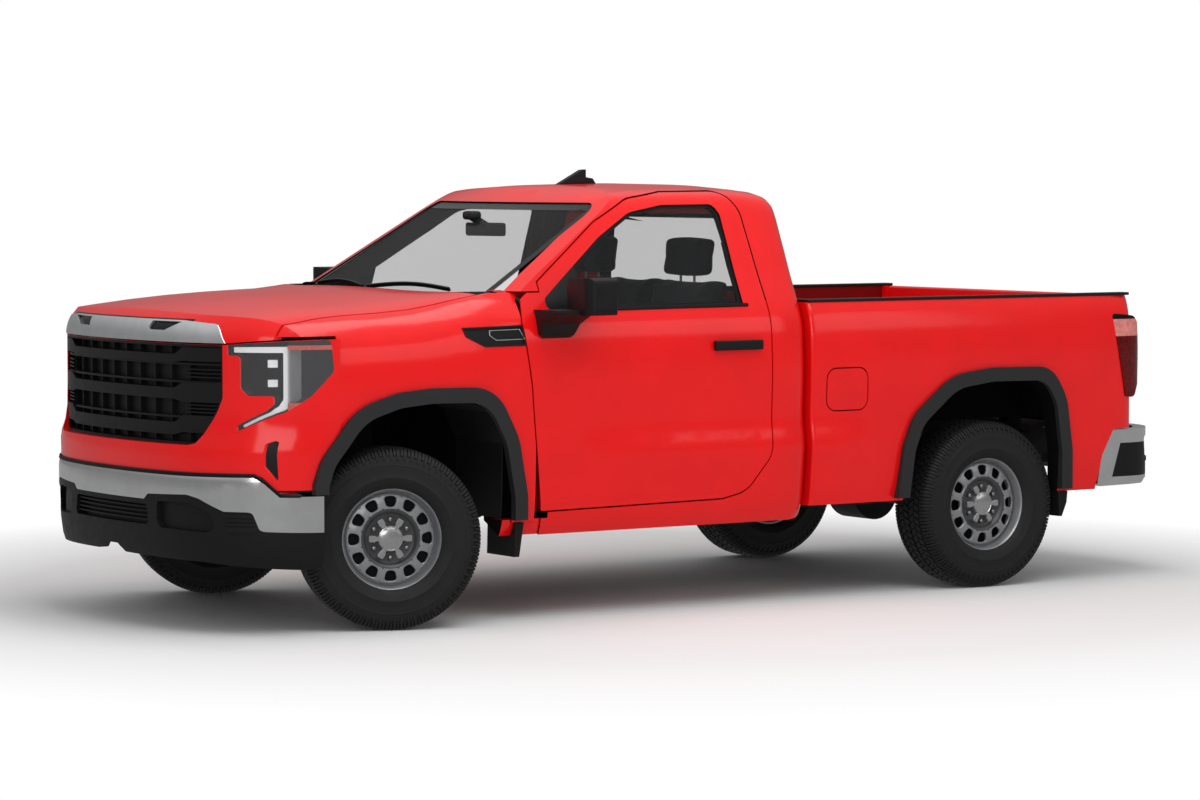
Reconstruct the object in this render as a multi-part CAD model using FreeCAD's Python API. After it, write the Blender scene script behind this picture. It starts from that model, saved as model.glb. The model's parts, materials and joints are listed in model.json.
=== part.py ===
import FreeCAD, Part
import math
import os

Vector = FreeCAD.Vector

# A two-door pickup with a ladder frame, in millimetres. The nose points along -Y, the driver's
# side is +X and +Z is up. The origin is on the ground at the middle of the overall length.

# Driving sizes of the whole truck
overall_length = 5340.0
wheelbase = 3213.0
front_overhang = 955.0
body_width = 2000.0
body_height = 1917.0
track = 1737.0

# Wheels
tyre_diameter = 789.0
tyre_width = 255.0
tyre_shoulder = 42.0
rim_diameter = 432.0
rim_lip = 14.0
rim_wall = 9.0
rim_disc_thickness = 8.0
rim_window_count = 12
rim_window_radius = 132.0
rim_window_size = 44.0
rim_hub_radius = 92.0
rim_cap_radius = 47.0
rim_cap_height = 34.0
rim_dish = 52.0
spindle_radius = 30.0
spindle_length = 90.0
running_clearance = 0.1
brake_disc_radius = 168.0
brake_disc_thickness = 26.0
bead_clearance = 0.3

# Steering
rest_steer_deg = -20.0
kingpin_radius = 17.0
kingpin_inboard = 150.0
knuckle_height = 250.0
knuckle_width = 70.0

# Body walls and gaps
door_thickness = 95.0
door_frame_thickness = 46.0
door_seal_gap = 6.0
aperture_flange = 24.0
aperture_step = 34.0
panel_gap = 7.0
seam = 0.3
skin_thickness = 8.0
leading_skin = 6.0
glass_thickness = 5.0
glass_set_in = 9.0
roof_thickness = 46.0
cab_floor_height = 640.0
cab_floor_thickness = 50.0
rocker_width = 130.0
back_wall_thickness = 70.0

# Hinges
door_hinge_inset = 19.0
door_hinge_back = 72.0
door_hinge_height = 44.0
hinge_barrel_radius = 7.0
hinge_pin_radius = 4.0
hinge_arm_width = 13.0
cowl_depth = 60.0
hood_clearance = 12.0
jamb_depth = 130.0
jamb_wall = 30.0
overrun = 50.0

# Load box
box_wall = 95.0
box_floor_height = 815.0
box_floor_thickness = 35.0
box_top_height = 1372.0
box_cap_height = 14.0
box_front_thickness = 48.0
wheelhouse_width = 262.0
wheelhouse_wall = 8.0
tailgate_thickness = 58.0
tailgate_drop = 34.0
tailgate_pin_radius = 11.0
tailgate_pin_length = 26.0

# Frame and what hangs from it
rail_spacing = 840.0
rail_width = 76.0
rail_height = 130.0
crossmember_length = 90.0
axle_tube_radius = 44.0
differential_radius = 135.0

front_axle_y = front_overhang - overall_length / 2
rear_axle_y = front_axle_y + wheelbase
half_width = body_width / 2
tyre_radius = tyre_diameter / 2
hub_height = tyre_radius
wheel_x = track / 2
kingpin_x = wheel_x - kingpin_inboard + spindle_length / 2
nose_y = -overall_length / 2
tail_y = overall_length / 2

straight_angle = 0.001
X_AXIS = Vector(1, 0, 0)
Y_AXIS = Vector(0, 1, 0)
Z_AXIS = Vector(0, 0, 1)
ORIGIN = Vector(0, 0, 0)


def along(share):
    """A station at this share of the wheelbase behind the front axle."""
    return front_axle_y + share * wheelbase


def up(share):
    return share * body_height


def across(share):
    return share * half_width


def smooth(table, value):
    """A smooth monotone curve through a table of (place, value) pairs."""
    if value <= table[0][0]:
        return table[0][1]
    if value >= table[-1][0]:
        return table[-1][1]
    spans = []
    for (a, va), (b, vb) in zip(table, table[1:]):
        spans.append((b - a, (vb - va) / (b - a)))
    slopes = [spans[0][1]]
    for (h0, d0), (h1, d1) in zip(spans, spans[1:]):
        if d0 * d1 <= 0:
            slopes.append(0.0)
        else:
            w0, w1 = 2 * h1 + h0, h1 + 2 * h0
            slopes.append((w0 + w1) / (w0 / d0 + w1 / d1))
    slopes.append(spans[-1][1])
    for i, (a, va) in enumerate(table[:-1]):
        h = spans[i][0]
        if value <= a + h:
            break
    t = (value - a) / h
    vb = table[i + 1][1]
    return ((1 + 2 * t) * (1 - t) ** 2 * va + t * (1 - t) ** 2 * h * slopes[i]
            + t * t * (3 - 2 * t) * vb + t * t * (t - 1) * h * slopes[i + 1])


# Outlines with round corners. A corner is (a, b, radius) in the plane of the outline.

def offset_corners(corners, distance):
    """Moves every side outwards by distance (inwards when negative); corners run either way round."""
    area = sum(p[0] * q[1] - q[0] * p[1] for p, q in zip(corners, corners[1:] + corners[:1]))
    sign = 1 if area > 0 else -1
    moved = []
    for i, (a, b, r) in enumerate(corners):
        pa, pb, _ = corners[i - 1]
        na, nb, _ = corners[(i + 1) % len(corners)]
        l0, l1 = math.hypot(a - pa, b - pb), math.hypot(na - a, nb - b)
        n0 = ((b - pb) / l0 * sign, -(a - pa) / l0 * sign)
        n1 = ((nb - b) / l1 * sign, -(na - a) / l1 * sign)
        k = 1 + n0[0] * n1[0] + n0[1] * n1[1]
        turn = ((a - pa) * (nb - b) - (b - pb) * (na - a)) * sign
        new_r = r + distance if turn > 0 else r - distance
        moved.append((a + (n0[0] + n1[0]) / k * distance, b + (n0[1] + n1[1]) / k * distance,
                      max(new_r, 0) if r > 0 else 0))
    return moved


def place(plane, a, b, c=0.0):
    """The point at (a, b) in a plane, c along the plane's normal."""
    if plane == "yz":
        return Vector(c, a, b)
    if plane == "xz":
        return Vector(a, c, b)
    return Vector(a, b, c)


def outline_wire(corners, plane, level):
    """A closed wire of straight sides with an arc at each corner that has a radius."""
    edges, first, last = [], None, None
    for i, (a, b, r) in enumerate(corners):
        p = Vector(a, b, 0)
        u = Vector(corners[i - 1][0] - a, corners[i - 1][1] - b, 0)
        v = Vector(corners[(i + 1) % len(corners)][0] - a, corners[(i + 1) % len(corners)][1] - b, 0)
        lu, lv = u.Length, v.Length
        u.normalize()
        v.normalize()
        angle = u.getAngle(v)
        straight = abs(angle - math.pi) < straight_angle
        reach = 0 if r <= 0 or straight else r / math.tan(angle / 2)
        limit = 0.45 * min(lu, lv)
        if reach > limit:
            reach = limit
            r = reach * math.tan(angle / 2)
        start, end = p + u * reach, p + v * reach
        if last is not None and (start - last).Length > 1e-6:
            edges.append(("line", last, start))
        if reach > 0:
            w = u + v
            w.normalize()
            middle = p + w * (r / math.sin(angle / 2) - r)
            edges.append(("arc", start, middle, end))
        first = first or start
        last = end
    if (first - last).Length > 1e-6:
        edges.append(("line", last, first))
    made = []
    for e in edges:
        pts = [place(plane, q.x, q.y, level) for q in e[1:]]
        made.append(Part.makeLine(*pts) if e[0] == "line" else Part.Arc(*pts).toShape())
    return Part.Wire(made)


def prism(corners, plane, low, high, distance=0.0):
    """The outline, offset by distance, extruded from low to high across its plane."""
    if distance:
        corners = offset_corners(corners, distance)
    face = Part.Face(outline_wire(corners, plane, low))
    return face.extrude(place(plane, 0, 0, 1) * (high - low))


def square(corners):
    """Corners with no radius."""
    return [(a, b, 0.0) for a, b in corners]


def block(x0, x1, y0, y1, z0, z1):
    return Part.makeBox(abs(x1 - x0), abs(y1 - y0), abs(z1 - z0),
                        Vector(min(x0, x1), min(y0, y1), min(z0, z1)))


def rod(radius, start, end):
    d = end - start
    return Part.makeCylinder(radius, d.Length, start, d)


def mirrored(shape):
    return shape.mirror(ORIGIN, X_AXIS)


def both_sides(shape):
    return [shape, mirrored(shape)]


def fused(shapes):
    out = shapes[0]
    if len(shapes) > 1:
        out = out.fuse(shapes[1:])
    return out.removeSplitter()


def minus(shape, tools):
    return shape.cut(tools) if tools else shape


def largest(shape):
    return max(shape.Solids, key=lambda s: s.Volume)


# The side of the body in cross section: (share of the height, share of the half width)
flank_shares = [(0.196, 0.950), (0.219, 0.972), (0.250, 0.986), (0.313, 0.994), (0.383, 0.997),
                (0.425, 0.997), (0.496, 0.998), (0.574, 1.000), (0.626, 0.996), (0.678, 0.983),
                (0.715, 0.957), (0.751, 0.925), (0.803, 0.880), (0.856, 0.838), (0.905, 0.797),
                (0.947, 0.760), (0.969, 0.727), (0.983, 0.670), (0.990, 0.560)]
roof_shares = [(0.9963, 0.380), (0.9992, 0.190), (1.0, 0.0)]
# How far the lower crease stands out: along the truck, then up the side
crease_along_shares = [(0.250, 0.0), (0.420, 1.0), (0.700, 1.0), (0.790, 0.0)]
crease_up_shares = [(0.196, 0.0), (0.280, 0.35), (0.384, 1.0), (0.392, 0.8), (0.420, 0.0)]
crease_depth = 12.0
belt_share = 0.725
# Roof height above the belt along the cab, as a share of its greatest
roof_line_shares = [(0.150, 0.955), (0.360, 0.955), (0.430, 0.988), (0.520, 1.0), (0.600, 0.990),
                    (0.645, 0.965)]


def side_point(y, z):
    """Half width of the body side at a station and height."""
    s = (y - front_axle_y) / wheelbase
    h = z / body_height
    crease = smooth(crease_along_shares, s) * smooth(crease_up_shares, h) * crease_depth
    return across(smooth(flank_shares, h)) + crease


def section(y, levels, lift, low_inset, high_inset, end_inset=0.0):
    """Points up one side of the body and over its top, set in along the surface's normal."""
    s = (y - front_axle_y) / wheelbase
    points = []
    for h, w in levels:
        crease = smooth(crease_along_shares, s) * smooth(crease_up_shares, h) * crease_depth
        x = across(w) + (crease if w > 0.9 else 0.0)
        points.append((x, up(h)))
    moved = []
    for i, (x, z) in enumerate(points):
        x0, z0 = points[max(i - 1, 0)]
        x1, z1 = points[min(i + 1, len(points) - 1)]
        if i == len(points) - 1:
            x1 = -x0
            z1 = z0
        n = Vector(z1 - z0, -(x1 - x0), 0)
        n.normalize()
        share = min(max((levels[i][0] - belt_share + 0.04) / 0.06, 0), 1)
        inset = low_inset + (high_inset - low_inset) * share + end_inset
        nx, nz = x - n.x * inset, z - n.y * inset
        if nz > up(belt_share):
            nz = up(belt_share) + (nz - up(belt_share)) * lift
        moved.append(Vector(max(nx, 0.0), y, nz))
    moved[-1].x = 0.0
    return moved


def section_wire(points):
    """Closes a half section: mirrors it, splines over the top and joins the foot."""
    whole = [Vector(-p.x, p.y, p.z) for p in points[:-1]] + [points[-1]] + points[-2::-1]
    curve = Part.BSplineCurve()
    curve.interpolate(whole)
    return Part.Wire([curve.toShape(), Part.makeLine(whole[-1], whole[0])])


cab_front_share = 0.150
cab_back_share = 0.6665
cab_stations_shares = [0.150, 0.250, 0.340, 0.430, 0.520, 0.600, 0.640]
cab_round_shares = [(0.654, 0.20), (0.6625, 0.55), (0.6665, 1.0)]
cab_corner_inset = 60.0


def band_points(y, k, low, high):
    """One curve up the cab side and over the roof, set in by low under the belt and high above it."""
    lift = smooth(roof_line_shares, (y - front_axle_y) / wheelbase)
    return section(y, flank_shares + roof_shares, lift, low, high, cab_corner_inset * k)


def closed_band(outer, inner):
    """A closed wire from an outer curve, back along an inner one."""
    curves = []
    for line in (outer, inner):
        curve = Part.BSplineCurve()
        curve.interpolate(line)
        curves.append(curve.toShape())
    return Part.Wire([curves[0], Part.makeLine(outer[-1], inner[-1]), curves[1], Part.makeLine(inner[0], outer[0])])


def cab_stations():
    stations = [(along(s), 0.0) for s in cab_stations_shares]
    return stations + [(along(s), k) for s, k in cab_round_shares]


def side_band(out_low, out_high, in_low, in_high):
    """The left side of the cab between two depths, from the rocker up to the roof rail."""
    rail = len(flank_shares)
    return Part.makeLoft([closed_band(band_points(y, k, out_low, out_high)[:rail],
                                      band_points(y, k, in_low, in_high)[:rail])
                          for y, k in cab_stations()], True, True)


def roof_band(depth):
    """The roof from rail to rail."""
    rail = len(flank_shares) - 1
    wires = []
    for y, k in cab_stations():
        lines = []
        for inset in (0.0, depth):
            half = band_points(y, k, inset, inset)[rail:]
            lines.append(half + [Vector(-p.x, p.y, p.z) for p in half[-2::-1]])
        wires.append(closed_band(lines[0], lines[1]))
    return Part.makeLoft(wires, True, True)


# The front of the body: the same side, rounded over into the hood
hood_shares = [(0.229, 0.972), (0.271, 0.985), (0.323, 0.993), (0.383, 0.996), (0.470, 0.998),
               (0.548, 1.000), (0.591, 0.997), (0.629, 0.989), (0.6615, 0.972), (0.6930, 0.937),
               (0.7142, 0.885), (0.7289, 0.805), (0.7416, 0.650), (0.7521, 0.450), (0.7585, 0.230),
               (0.7606, 0.0)]
# The same levels where the fenders meet the doors
cowl_shares = [(0.229, 0.977), (0.271, 0.989), (0.323, 0.9945), (0.383, 0.997), (0.470, 0.9975),
               (0.548, 0.9995), (0.591, 0.9990), (0.629, 0.9955), (0.6615, 0.9880), (0.6930, 0.9750),
               (0.7180, 0.9550), (0.7380, 0.9330), (0.7510, 0.8800), (0.7560, 0.6000), (0.7590, 0.3000),
               (0.7606, 0.0)]
cowl_blend_shares = [(0.000, 0.0), (0.145, 1.0)]
hood_base_share = 0.574
hood_line_shares = [(-0.290, 0.645), (-0.282, 0.670), (-0.261, 0.776), (-0.235, 0.818), (-0.210, 0.849),
                    (-0.1435, 0.914), (-0.047, 0.964), (0.045, 0.986), (0.120, 0.997), (0.200, 1.0)]
front_stations_shares = [-0.290, -0.276, -0.261, -0.235, -0.210, -0.175, -0.130, -0.080, -0.030, 0.020,
                         0.060, 0.100, 0.145, 0.190, 0.200]


def front_section(y, inset):
    s = (y - front_axle_y) / wheelbase
    lift = smooth(hood_line_shares, s)
    blend = smooth(cowl_blend_shares, s)
    points = []
    for (h0, w0), (h1, w1) in zip(hood_shares, cowl_shares):
        h, w = h0 + (h1 - h0) * blend, w0 + (w1 - w0) * blend
        z = up(h) if h < hood_base_share else up(hood_base_share) + up(h - hood_base_share) * lift
        points.append((across(w), z))
    moved = []
    for i, (x, z) in enumerate(points):
        x0, z0 = points[max(i - 1, 0)]
        x1, z1 = points[min(i + 1, len(points) - 1)]
        if i == len(points) - 1:
            x1, z1 = -x0, z0
        n = Vector(z1 - z0, -(x1 - x0), 0)
        n.normalize()
        moved.append(Vector(max(x - n.x * inset, 0), y, z - n.y * inset))
    moved[-1].x = 0.0
    return moved


def front_hull(inset=0.0):
    """The outside of the engine bay as one closed loft."""
    return Part.makeLoft([section_wire(front_section(along(s), inset))
                          for s in front_stations_shares], True, True)


# The nose in plan: (share of the half width, share of the wheelbase)
nose_plan_shares = [(0.0, -0.2820), (0.200, -0.2800), (0.400, -0.2735), (0.600, -0.2590),
                    (0.740, -0.2385), (0.840, -0.2150), (0.910, -0.1900), (0.960, -0.1640),
                    (0.990, -0.1380), (1.002, -0.1100)]


def nose_points(outwards, push=0.0):
    """The nose's plan line, grown outwards by a distance and pushed forwards."""
    points = [(across(x), along(y)) for x, y in nose_plan_shares]
    moved = []
    for i, (x, y) in enumerate(points):
        x0, y0 = points[max(i - 1, 0)]
        x1, y1 = points[min(i + 1, len(points) - 1)]
        if i == 0:
            x0, y0 = -x1, y1
        n = Vector(y1 - y0, -(x1 - x0), 0)
        n.normalize()
        moved.append((x + n.x * outwards, y + n.y * outwards - push))
    return moved


nose_back_share = 0.300


def nose_wire(z, outwards, push):
    """The nose line at a height, closed behind."""
    right = nose_points(outwards, push)
    line = [Vector(-x, y, z) for x, y in right[:0:-1]] + [Vector(x, y, z) for x, y in right]
    curve = Part.BSplineCurve()
    curve.interpolate(line)
    a, b = line[0], line[-1]
    back = along(nose_back_share)
    return Part.Wire([curve.toShape(), Part.makeLine(b, Vector(b.x, back, z)),
                      Part.makeLine(Vector(b.x, back, z), Vector(a.x, back, z)),
                      Part.makeLine(Vector(a.x, back, z), a)])


def nose_volume(outwards, z0=0.0, z1=body_height, push=0.0):
    """All that lies behind the nose line, between two heights."""
    return Part.Face(nose_wire(z0, outwards, push)).extrude(Vector(0, 0, z1 - z0))


def nose_loft(levels):
    """All that lies behind the nose line, with (height, outwards, push) levels."""
    return Part.makeLoft([nose_wire(z, outwards, push) for z, outwards, push in levels], True, True)


def side_corners(shares):
    """Corners given as shares (along the wheelbase, of the height, radius of the height)."""
    return [(along(y), up(z), up(r)) for y, z, r in shares]


# Door, window and panel outlines seen from the side
door_shares = [(0.2100, 0.2520, 0.004), (0.1950, 0.5410, 0.0), (0.1815, 0.6860, 0.03),
               (0.1870, 0.7380, 0.02), (0.2170, 0.7700, 0.02), (0.3380, 0.9100, 0.06),
               (0.4050, 0.9640, 0.10), (0.4750, 0.9795, 0.06), (0.5740, 0.9810, 0.05),
               (0.5910, 0.9350, 0.06), (0.5985, 0.7030, 0.05), (0.5985, 0.4100, 0.02),
               (0.5960, 0.3550, 0.06), (0.5560, 0.2740, 0.08), (0.5150, 0.2590, 0.004)]
window_shares = [(0.2260, 0.7150, 0.010), (0.2260, 0.7380, 0.012), (0.3400, 0.8760, 0.05),
                 (0.4000, 0.9330, 0.08), (0.4600, 0.9505, 0.05), (0.5470, 0.9515, 0.022),
                 (0.5560, 0.9280, 0.02), (0.5580, 0.7110, 0.006)]
aperture_shares = [(0.2450, 0.3600, 0.05), (0.2350, 0.7380, 0.02), (0.3500, 0.8690, 0.05),
                   (0.4050, 0.9280, 0.08), (0.4600, 0.9480, 0.05), (0.5480, 0.9490, 0.04),
                   (0.5620, 0.9250, 0.04), (0.5740, 0.7000, 0.04), (0.5740, 0.4200, 0.06),
                   (0.5350, 0.3600, 0.06)]
fender_zone_shares = [(-0.3500, 0.1000, 0.0), (0.2170, 0.1000, 0.0), (0.2100, 0.2520, 0.0),
                      (0.1950, 0.5410, 0.0), (0.1815, 0.6860, 0.03), (0.1870, 0.7380, 0.02),
                      (0.1930, 0.7470, 0.0), (0.1400, 0.7900, 0.0), (-0.3500, 0.7900, 0.0)]

# Wheel arches as shares of the tyre radius about the axle, from the front foot over the top
front_arch_shares = [(-1.070, 0.90, 0.0), (-1.070, 1.62, 0.0), (-1.000, 1.84, 0.40),
                     (-0.600, 2.32, 0.60), (-0.150, 2.455, 0.60), (0.250, 2.490, 0.80),
                     (0.980, 2.480, 0.50), (1.230, 2.000, 0.60), (1.335, 1.400, 0.40),
                     (1.335, 0.90, 0.0)]
rear_arch_shares = [(-1.330, 0.90, 0.0), (-1.210, 1.70, 0.20), (-1.080, 2.020, 0.40),
                    (-0.560, 2.430, 0.60), (0.000, 2.500, 0.60), (0.820, 2.490, 0.50),
                    (1.000, 2.200, 0.50), (1.085, 1.600, 0.40), (1.085, 0.90, 0.0)]
arch_trim_width = 66.0
arch_trim_out = 22.0
arch_trim_in = 14.0
flap_foot_share = 0.73


def arch_corners(shares, axle_y):
    r = tyre_radius
    return [(axle_y + y * r, z * r, k * r) for y, z, k in shares]


parts = {}


def keep(name, shapes):
    """Stores a node's solids."""
    if not isinstance(shapes, list):
        shapes = [shapes]
    solids = [s for shape in shapes for s in shape.Solids]
    parts.setdefault(name, []).extend(solids)


# Wheels and tyres, made about the origin with the wheel's outer face towards +X

def ring(profile):
    """Turns a closed list of (x, r) points about the X axis."""
    points = [Vector(x, 0, r) for x, r in profile]
    face = Part.Face(Part.makePolygon(points + points[:1]))
    return face.revolve(ORIGIN, X_AXIS, 360)


def tyre_solid():
    h = tyre_width / 2
    r_in = rim_diameter / 2 + bead_clearance
    r_out = tyre_radius
    sh = tyre_shoulder
    bead = r_in + rim_lip + rim_wall / 2
    profile = [(-h * 0.80, r_in, 0), (-h * 0.80, bead, 0), (-h, r_in + sh, sh * 0.6), (-h, r_out - sh * 0.9, sh * 0.9),
               (-h + sh * 0.75, r_out - sh * 0.06, sh * 0.45), (h - sh * 0.75, r_out - sh * 0.06, sh * 0.45),
               (h, r_out - sh * 0.9, sh * 0.9), (h, r_in + sh, sh * 0.6),
               (h * 0.80, bead, 0), (h * 0.80, r_in, 0)]
    top = [(-h * 0.5, r_out, sh), (h * 0.5, r_out, sh)]
    corners = profile[:5] + top + profile[5:]
    return Part.Face(outline_wire(corners, "xz", 0)).revolve(ORIGIN, X_AXIS, 360)


def rim_solid():
    """Barrel, disc with its windows, hub pocket and cap, with the brake disc behind."""
    h = tyre_width / 2 * 0.80
    r = rim_diameter / 2
    face_x = h - rim_dish
    lip = h + bead_clearance
    barrel = ring([(-lip, r), (-lip, r + rim_lip), (-lip - rim_wall, r + rim_lip), (-lip - rim_wall, r - rim_wall),
                   (lip + rim_wall, r - rim_wall), (lip + rim_wall, r + rim_lip), (lip, r + rim_lip), (lip, r)])
    disc = ring([(face_x, spindle_radius), (face_x, rim_hub_radius), (face_x + rim_dish * 0.45, rim_hub_radius + rim_dish * 0.5),
                 (face_x + rim_dish * 0.35, r * 0.80), (face_x, r - rim_wall / 2),
                 (face_x - rim_disc_thickness, r - rim_wall / 2),
                 (face_x + rim_dish * 0.35 - rim_disc_thickness, r * 0.80 - rim_disc_thickness),
                 (face_x + rim_dish * 0.45 - rim_disc_thickness, rim_hub_radius + rim_dish * 0.5),
                 (face_x - rim_disc_thickness, rim_hub_radius - rim_disc_thickness),
                 (face_x - rim_disc_thickness, spindle_radius)])
    windows = []
    for i in range(rim_window_count):
        half = rim_window_size / 2
        pocket = prism([(-half * 0.55, rim_window_radius - half, half * 0.5),
                        (half * 0.55, rim_window_radius - half, half * 0.5),
                        (half, rim_window_radius + half * 0.8, half * 0.6),
                        (-half, rim_window_radius + half * 0.8, half * 0.6)],
                       "yz", -h, h)
        windows.append(pocket.rotate(ORIGIN, X_AXIS, 360 * i / rim_window_count))
    disc = disc.cut(windows)
    cap = Part.makeCylinder(rim_cap_radius, rim_cap_height, Vector(face_x - rim_disc_thickness, 0, 0), X_AXIS)
    hub = Part.makeCylinder(rim_cap_radius * 1.3, spindle_length, Vector(face_x - rim_disc_thickness - spindle_length, 0, 0), X_AXIS)
    brake_x = face_x - rim_disc_thickness - spindle_length
    brake = Part.makeCylinder(brake_disc_radius, brake_disc_thickness, Vector(brake_x, 0, 0), X_AXIS)
    bore = Part.makeCylinder(spindle_radius + running_clearance, spindle_length + overrun,
                             Vector(brake_x - overrun, 0, 0), X_AXIS)
    return barrel.fuse([disc, cap, hub, brake]).removeSplitter().cut(bore), brake_x


tyre = tyre_solid()
rim, wheel_back_x = rim_solid()


def set_wheel(shape, side, axle_y, steer_deg=0.0):
    """Places a wheel made about the origin on one side of an axle."""
    made = shape.copy() if side > 0 else mirrored(shape)
    made.translate(Vector(side * wheel_x, axle_y, hub_height))
    if steer_deg:
        made = made.rotate(Vector(side * kingpin_x, axle_y, 0), Z_AXIS, steer_deg)
    return made


for name, side in (("left", 1), ("right", -1)):
    keep("tyre_front_" + name, set_wheel(tyre, side, front_axle_y, rest_steer_deg))
    keep("rim_front_" + name, set_wheel(rim, side, front_axle_y, rest_steer_deg))
    keep("tyre_rear_" + name, set_wheel(tyre, side, rear_axle_y))
    keep("rim_rear_" + name, set_wheel(rim, side, rear_axle_y))

# Knuckles: an upright with the spindle and a kingpin that turns in the two arms
knuckle_face_x = wheel_x + wheel_back_x - bead_clearance
spindle_end_x = wheel_x + wheel_back_x + spindle_length
kingpin_top = hub_height + knuckle_height / 2
kingpin_foot = hub_height - knuckle_height / 2
upright = block(kingpin_x - knuckle_width / 2, knuckle_face_x, front_axle_y - knuckle_width / 2,
                front_axle_y + knuckle_width / 2, kingpin_foot, kingpin_top)
spindle = rod(spindle_radius, Vector(knuckle_face_x - knuckle_width / 2, front_axle_y, hub_height),
              Vector(spindle_end_x - bead_clearance, front_axle_y, hub_height))
kingpin = rod(kingpin_radius, Vector(kingpin_x, front_axle_y, kingpin_foot - knuckle_width / 2),
              Vector(kingpin_x, front_axle_y, kingpin_top + knuckle_width / 2))
knuckle = fused([upright, spindle, kingpin])
for name, side in (("left", 1), ("right", -1)):
    shape = knuckle.copy() if side > 0 else mirrored(knuckle)
    keep("knuckle_" + name, shape.rotate(Vector(side * kingpin_x, front_axle_y, 0), Z_AXIS, rest_steer_deg))

# The windscreen is a bowed plan line carried up along a slope
screen_foot_share = -0.1650
screen_bow = 150.0
screen_bow_at_share = 0.765
screen_run = 1.728
screen_low_share = 0.470
screen_high_share = 1.10
pillar_proud = 22.0
cowl_height = 1350.0
screen_corners_shares = [(-0.790, 0.728, 0.02), (0.790, 0.728, 0.02), (0.700, 0.9560, 0.045),
                         (-0.700, 0.9560, 0.045)]
rear_window_shares = [(-0.640, 0.735, 0.03), (0.640, 0.735, 0.03), (0.590, 0.925, 0.04),
                      (-0.590, 0.925, 0.04)]


def front_corners(shares):
    """Corners seen from the front: shares of the half width and of the height."""
    return [(across(x), up(z), up(r)) for x, z, r in shares]


def screen_volume(push):
    """All that lies ahead of the windscreen plane, which is moved forwards by push."""
    z0, z1 = up(screen_low_share), up(screen_high_share)
    y0 = along(screen_foot_share) - push
    span = half_width * 1.1
    line = []
    for k in (-1.0, -0.6, -0.2, 0.2, 0.6, 1.0):
        x = span * k
        line.append(Vector(x, y0 + screen_bow * (x / across(screen_bow_at_share)) ** 2, z0))
    curve = Part.BSplineCurve()
    curve.interpolate(line)
    front = along(screen_foot_share) - overall_length / 2
    a, b = line[0], line[-1]
    edges = [curve.toShape(), Part.makeLine(b, Vector(b.x, front, z0)),
             Part.makeLine(Vector(b.x, front, z0), Vector(a.x, front, z0)),
             Part.makeLine(Vector(a.x, front, z0), a)]
    return Part.Face(Part.Wire(edges)).extrude(Vector(0, screen_run, 1) * (z1 - z0))


far = overall_length
inner_depth = door_thickness + door_seal_gap
inner_depth_high = door_frame_thickness + door_seal_gap

wall_depth = inner_depth + aperture_flange
wall_depth_high = inner_depth_high + aperture_flange
side_wall = side_band(0.0, 0.0, wall_depth, wall_depth_high)
door_blank = side_band(0.0, 0.0, door_thickness, door_frame_thickness)
pocket_blank = side_band(-overrun, -overrun, inner_depth, inner_depth_high)
glass_blank = side_band(glass_set_in, glass_set_in, glass_set_in + glass_thickness, glass_set_in + glass_thickness)
roof = roof_band(wall_depth_high)
front_out = front_hull()
front_in = front_hull(skin_thickness)

door_corners = side_corners(door_shares)
door_hinge_y = along(0.2179)
door_hinge_x = half_width - door_hinge_inset
thick_start = door_hinge_y + hinge_barrel_radius + 5.0


def through(corners, distance=0.0):
    """A side outline cut through the whole width of the truck."""
    return prism(corners, "yz", -half_width * 1.2, half_width * 1.2, distance)


def front_through(corners, y0, y1, distance=0.0):
    return prism(corners, "xz", y0, y1, distance)


cab_front = along(cab_front_share)
cab_back = along(cab_back_share)
ahead = screen_volume(pillar_proud)
wide = half_width * 1.2


def left_prism(corners, distance=0.0):
    return prism(corners, "yz", 0.0, wide, distance)


# Doors, made on the left and mirrored
lead_top = up(0.752)
door_hem = 12.0
door_hem_depth = 12.0
lead_zone = block(0, wide, cab_front - overrun, thick_start, 0, lead_top)
sail_corner = block(0, wide, -far, thick_start, lead_top, body_height)
hem_band = side_band(door_hem_depth, door_hem_depth, wall_depth, wall_depth)
hem_cut = hem_band.common(block(0, wide, along(0.350), far, 0, body_height)).cut(left_prism(door_corners, -door_hem))
hem_corner = hem_band.common(block(0, wide, along(0.5500), far, up(0.860), body_height))
lead_cut = side_band(leading_skin, leading_skin, wall_depth, wall_depth).common(lead_zone)
door_inner_share = 0.630
door_rail = block(0, across(door_inner_share), -far, far, up(0.900), body_height)
door_left = door_blank.common(left_prism(door_corners)).cut(door_rail)
door_left = door_left.cut([hem_cut, hem_corner, sail_corner])
door_left = largest(door_left.cut(left_prism(side_corners(window_shares))).cut(lead_cut).cut(ahead))

# Cab: two side walls, roof, back wall, firewall and floor
pocket_rail = block(0, across(door_inner_share) - panel_gap, -far, far, up(0.900), body_height)
pocket = pocket_blank.common(left_prism(door_corners, panel_gap)).cut(pocket_rail)
pocket = pocket.cut(block(0, wide, -far, thick_start - panel_gap, lead_top + panel_gap, body_height))
rebate = side_band(-overrun, -overrun, skin_thickness + seam, skin_thickness + seam)
rebate = rebate.common(left_prism(side_corners(fender_zone_shares)))
jamb = block(door_hinge_x - jamb_depth, wide, cab_front - overrun, thick_start, up(0.235), lead_top + panel_gap)
upper_ahead = ahead.common(block(-wide, wide, -far, far, cowl_height, body_height * 1.2))
pillar = block(door_hinge_x - jamb_depth - jamb_wall, side_wall.BoundBox.XMax, cab_front, thick_start + jamb_wall,
               up(0.200), cowl_height)
pillar = pillar.common(side_band(overrun, overrun, wall_depth + overrun * 2, wall_depth + overrun * 2))
side_left = side_wall.fuse(pillar).cut(upper_ahead)
for tool in (pocket, jamb, rebate, left_prism(side_corners(aperture_shares))):
    side_left = largest(side_left.cut(tool))
roof = roof.cut(upper_ahead)
inner_wall = wall_depth / 2
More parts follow.
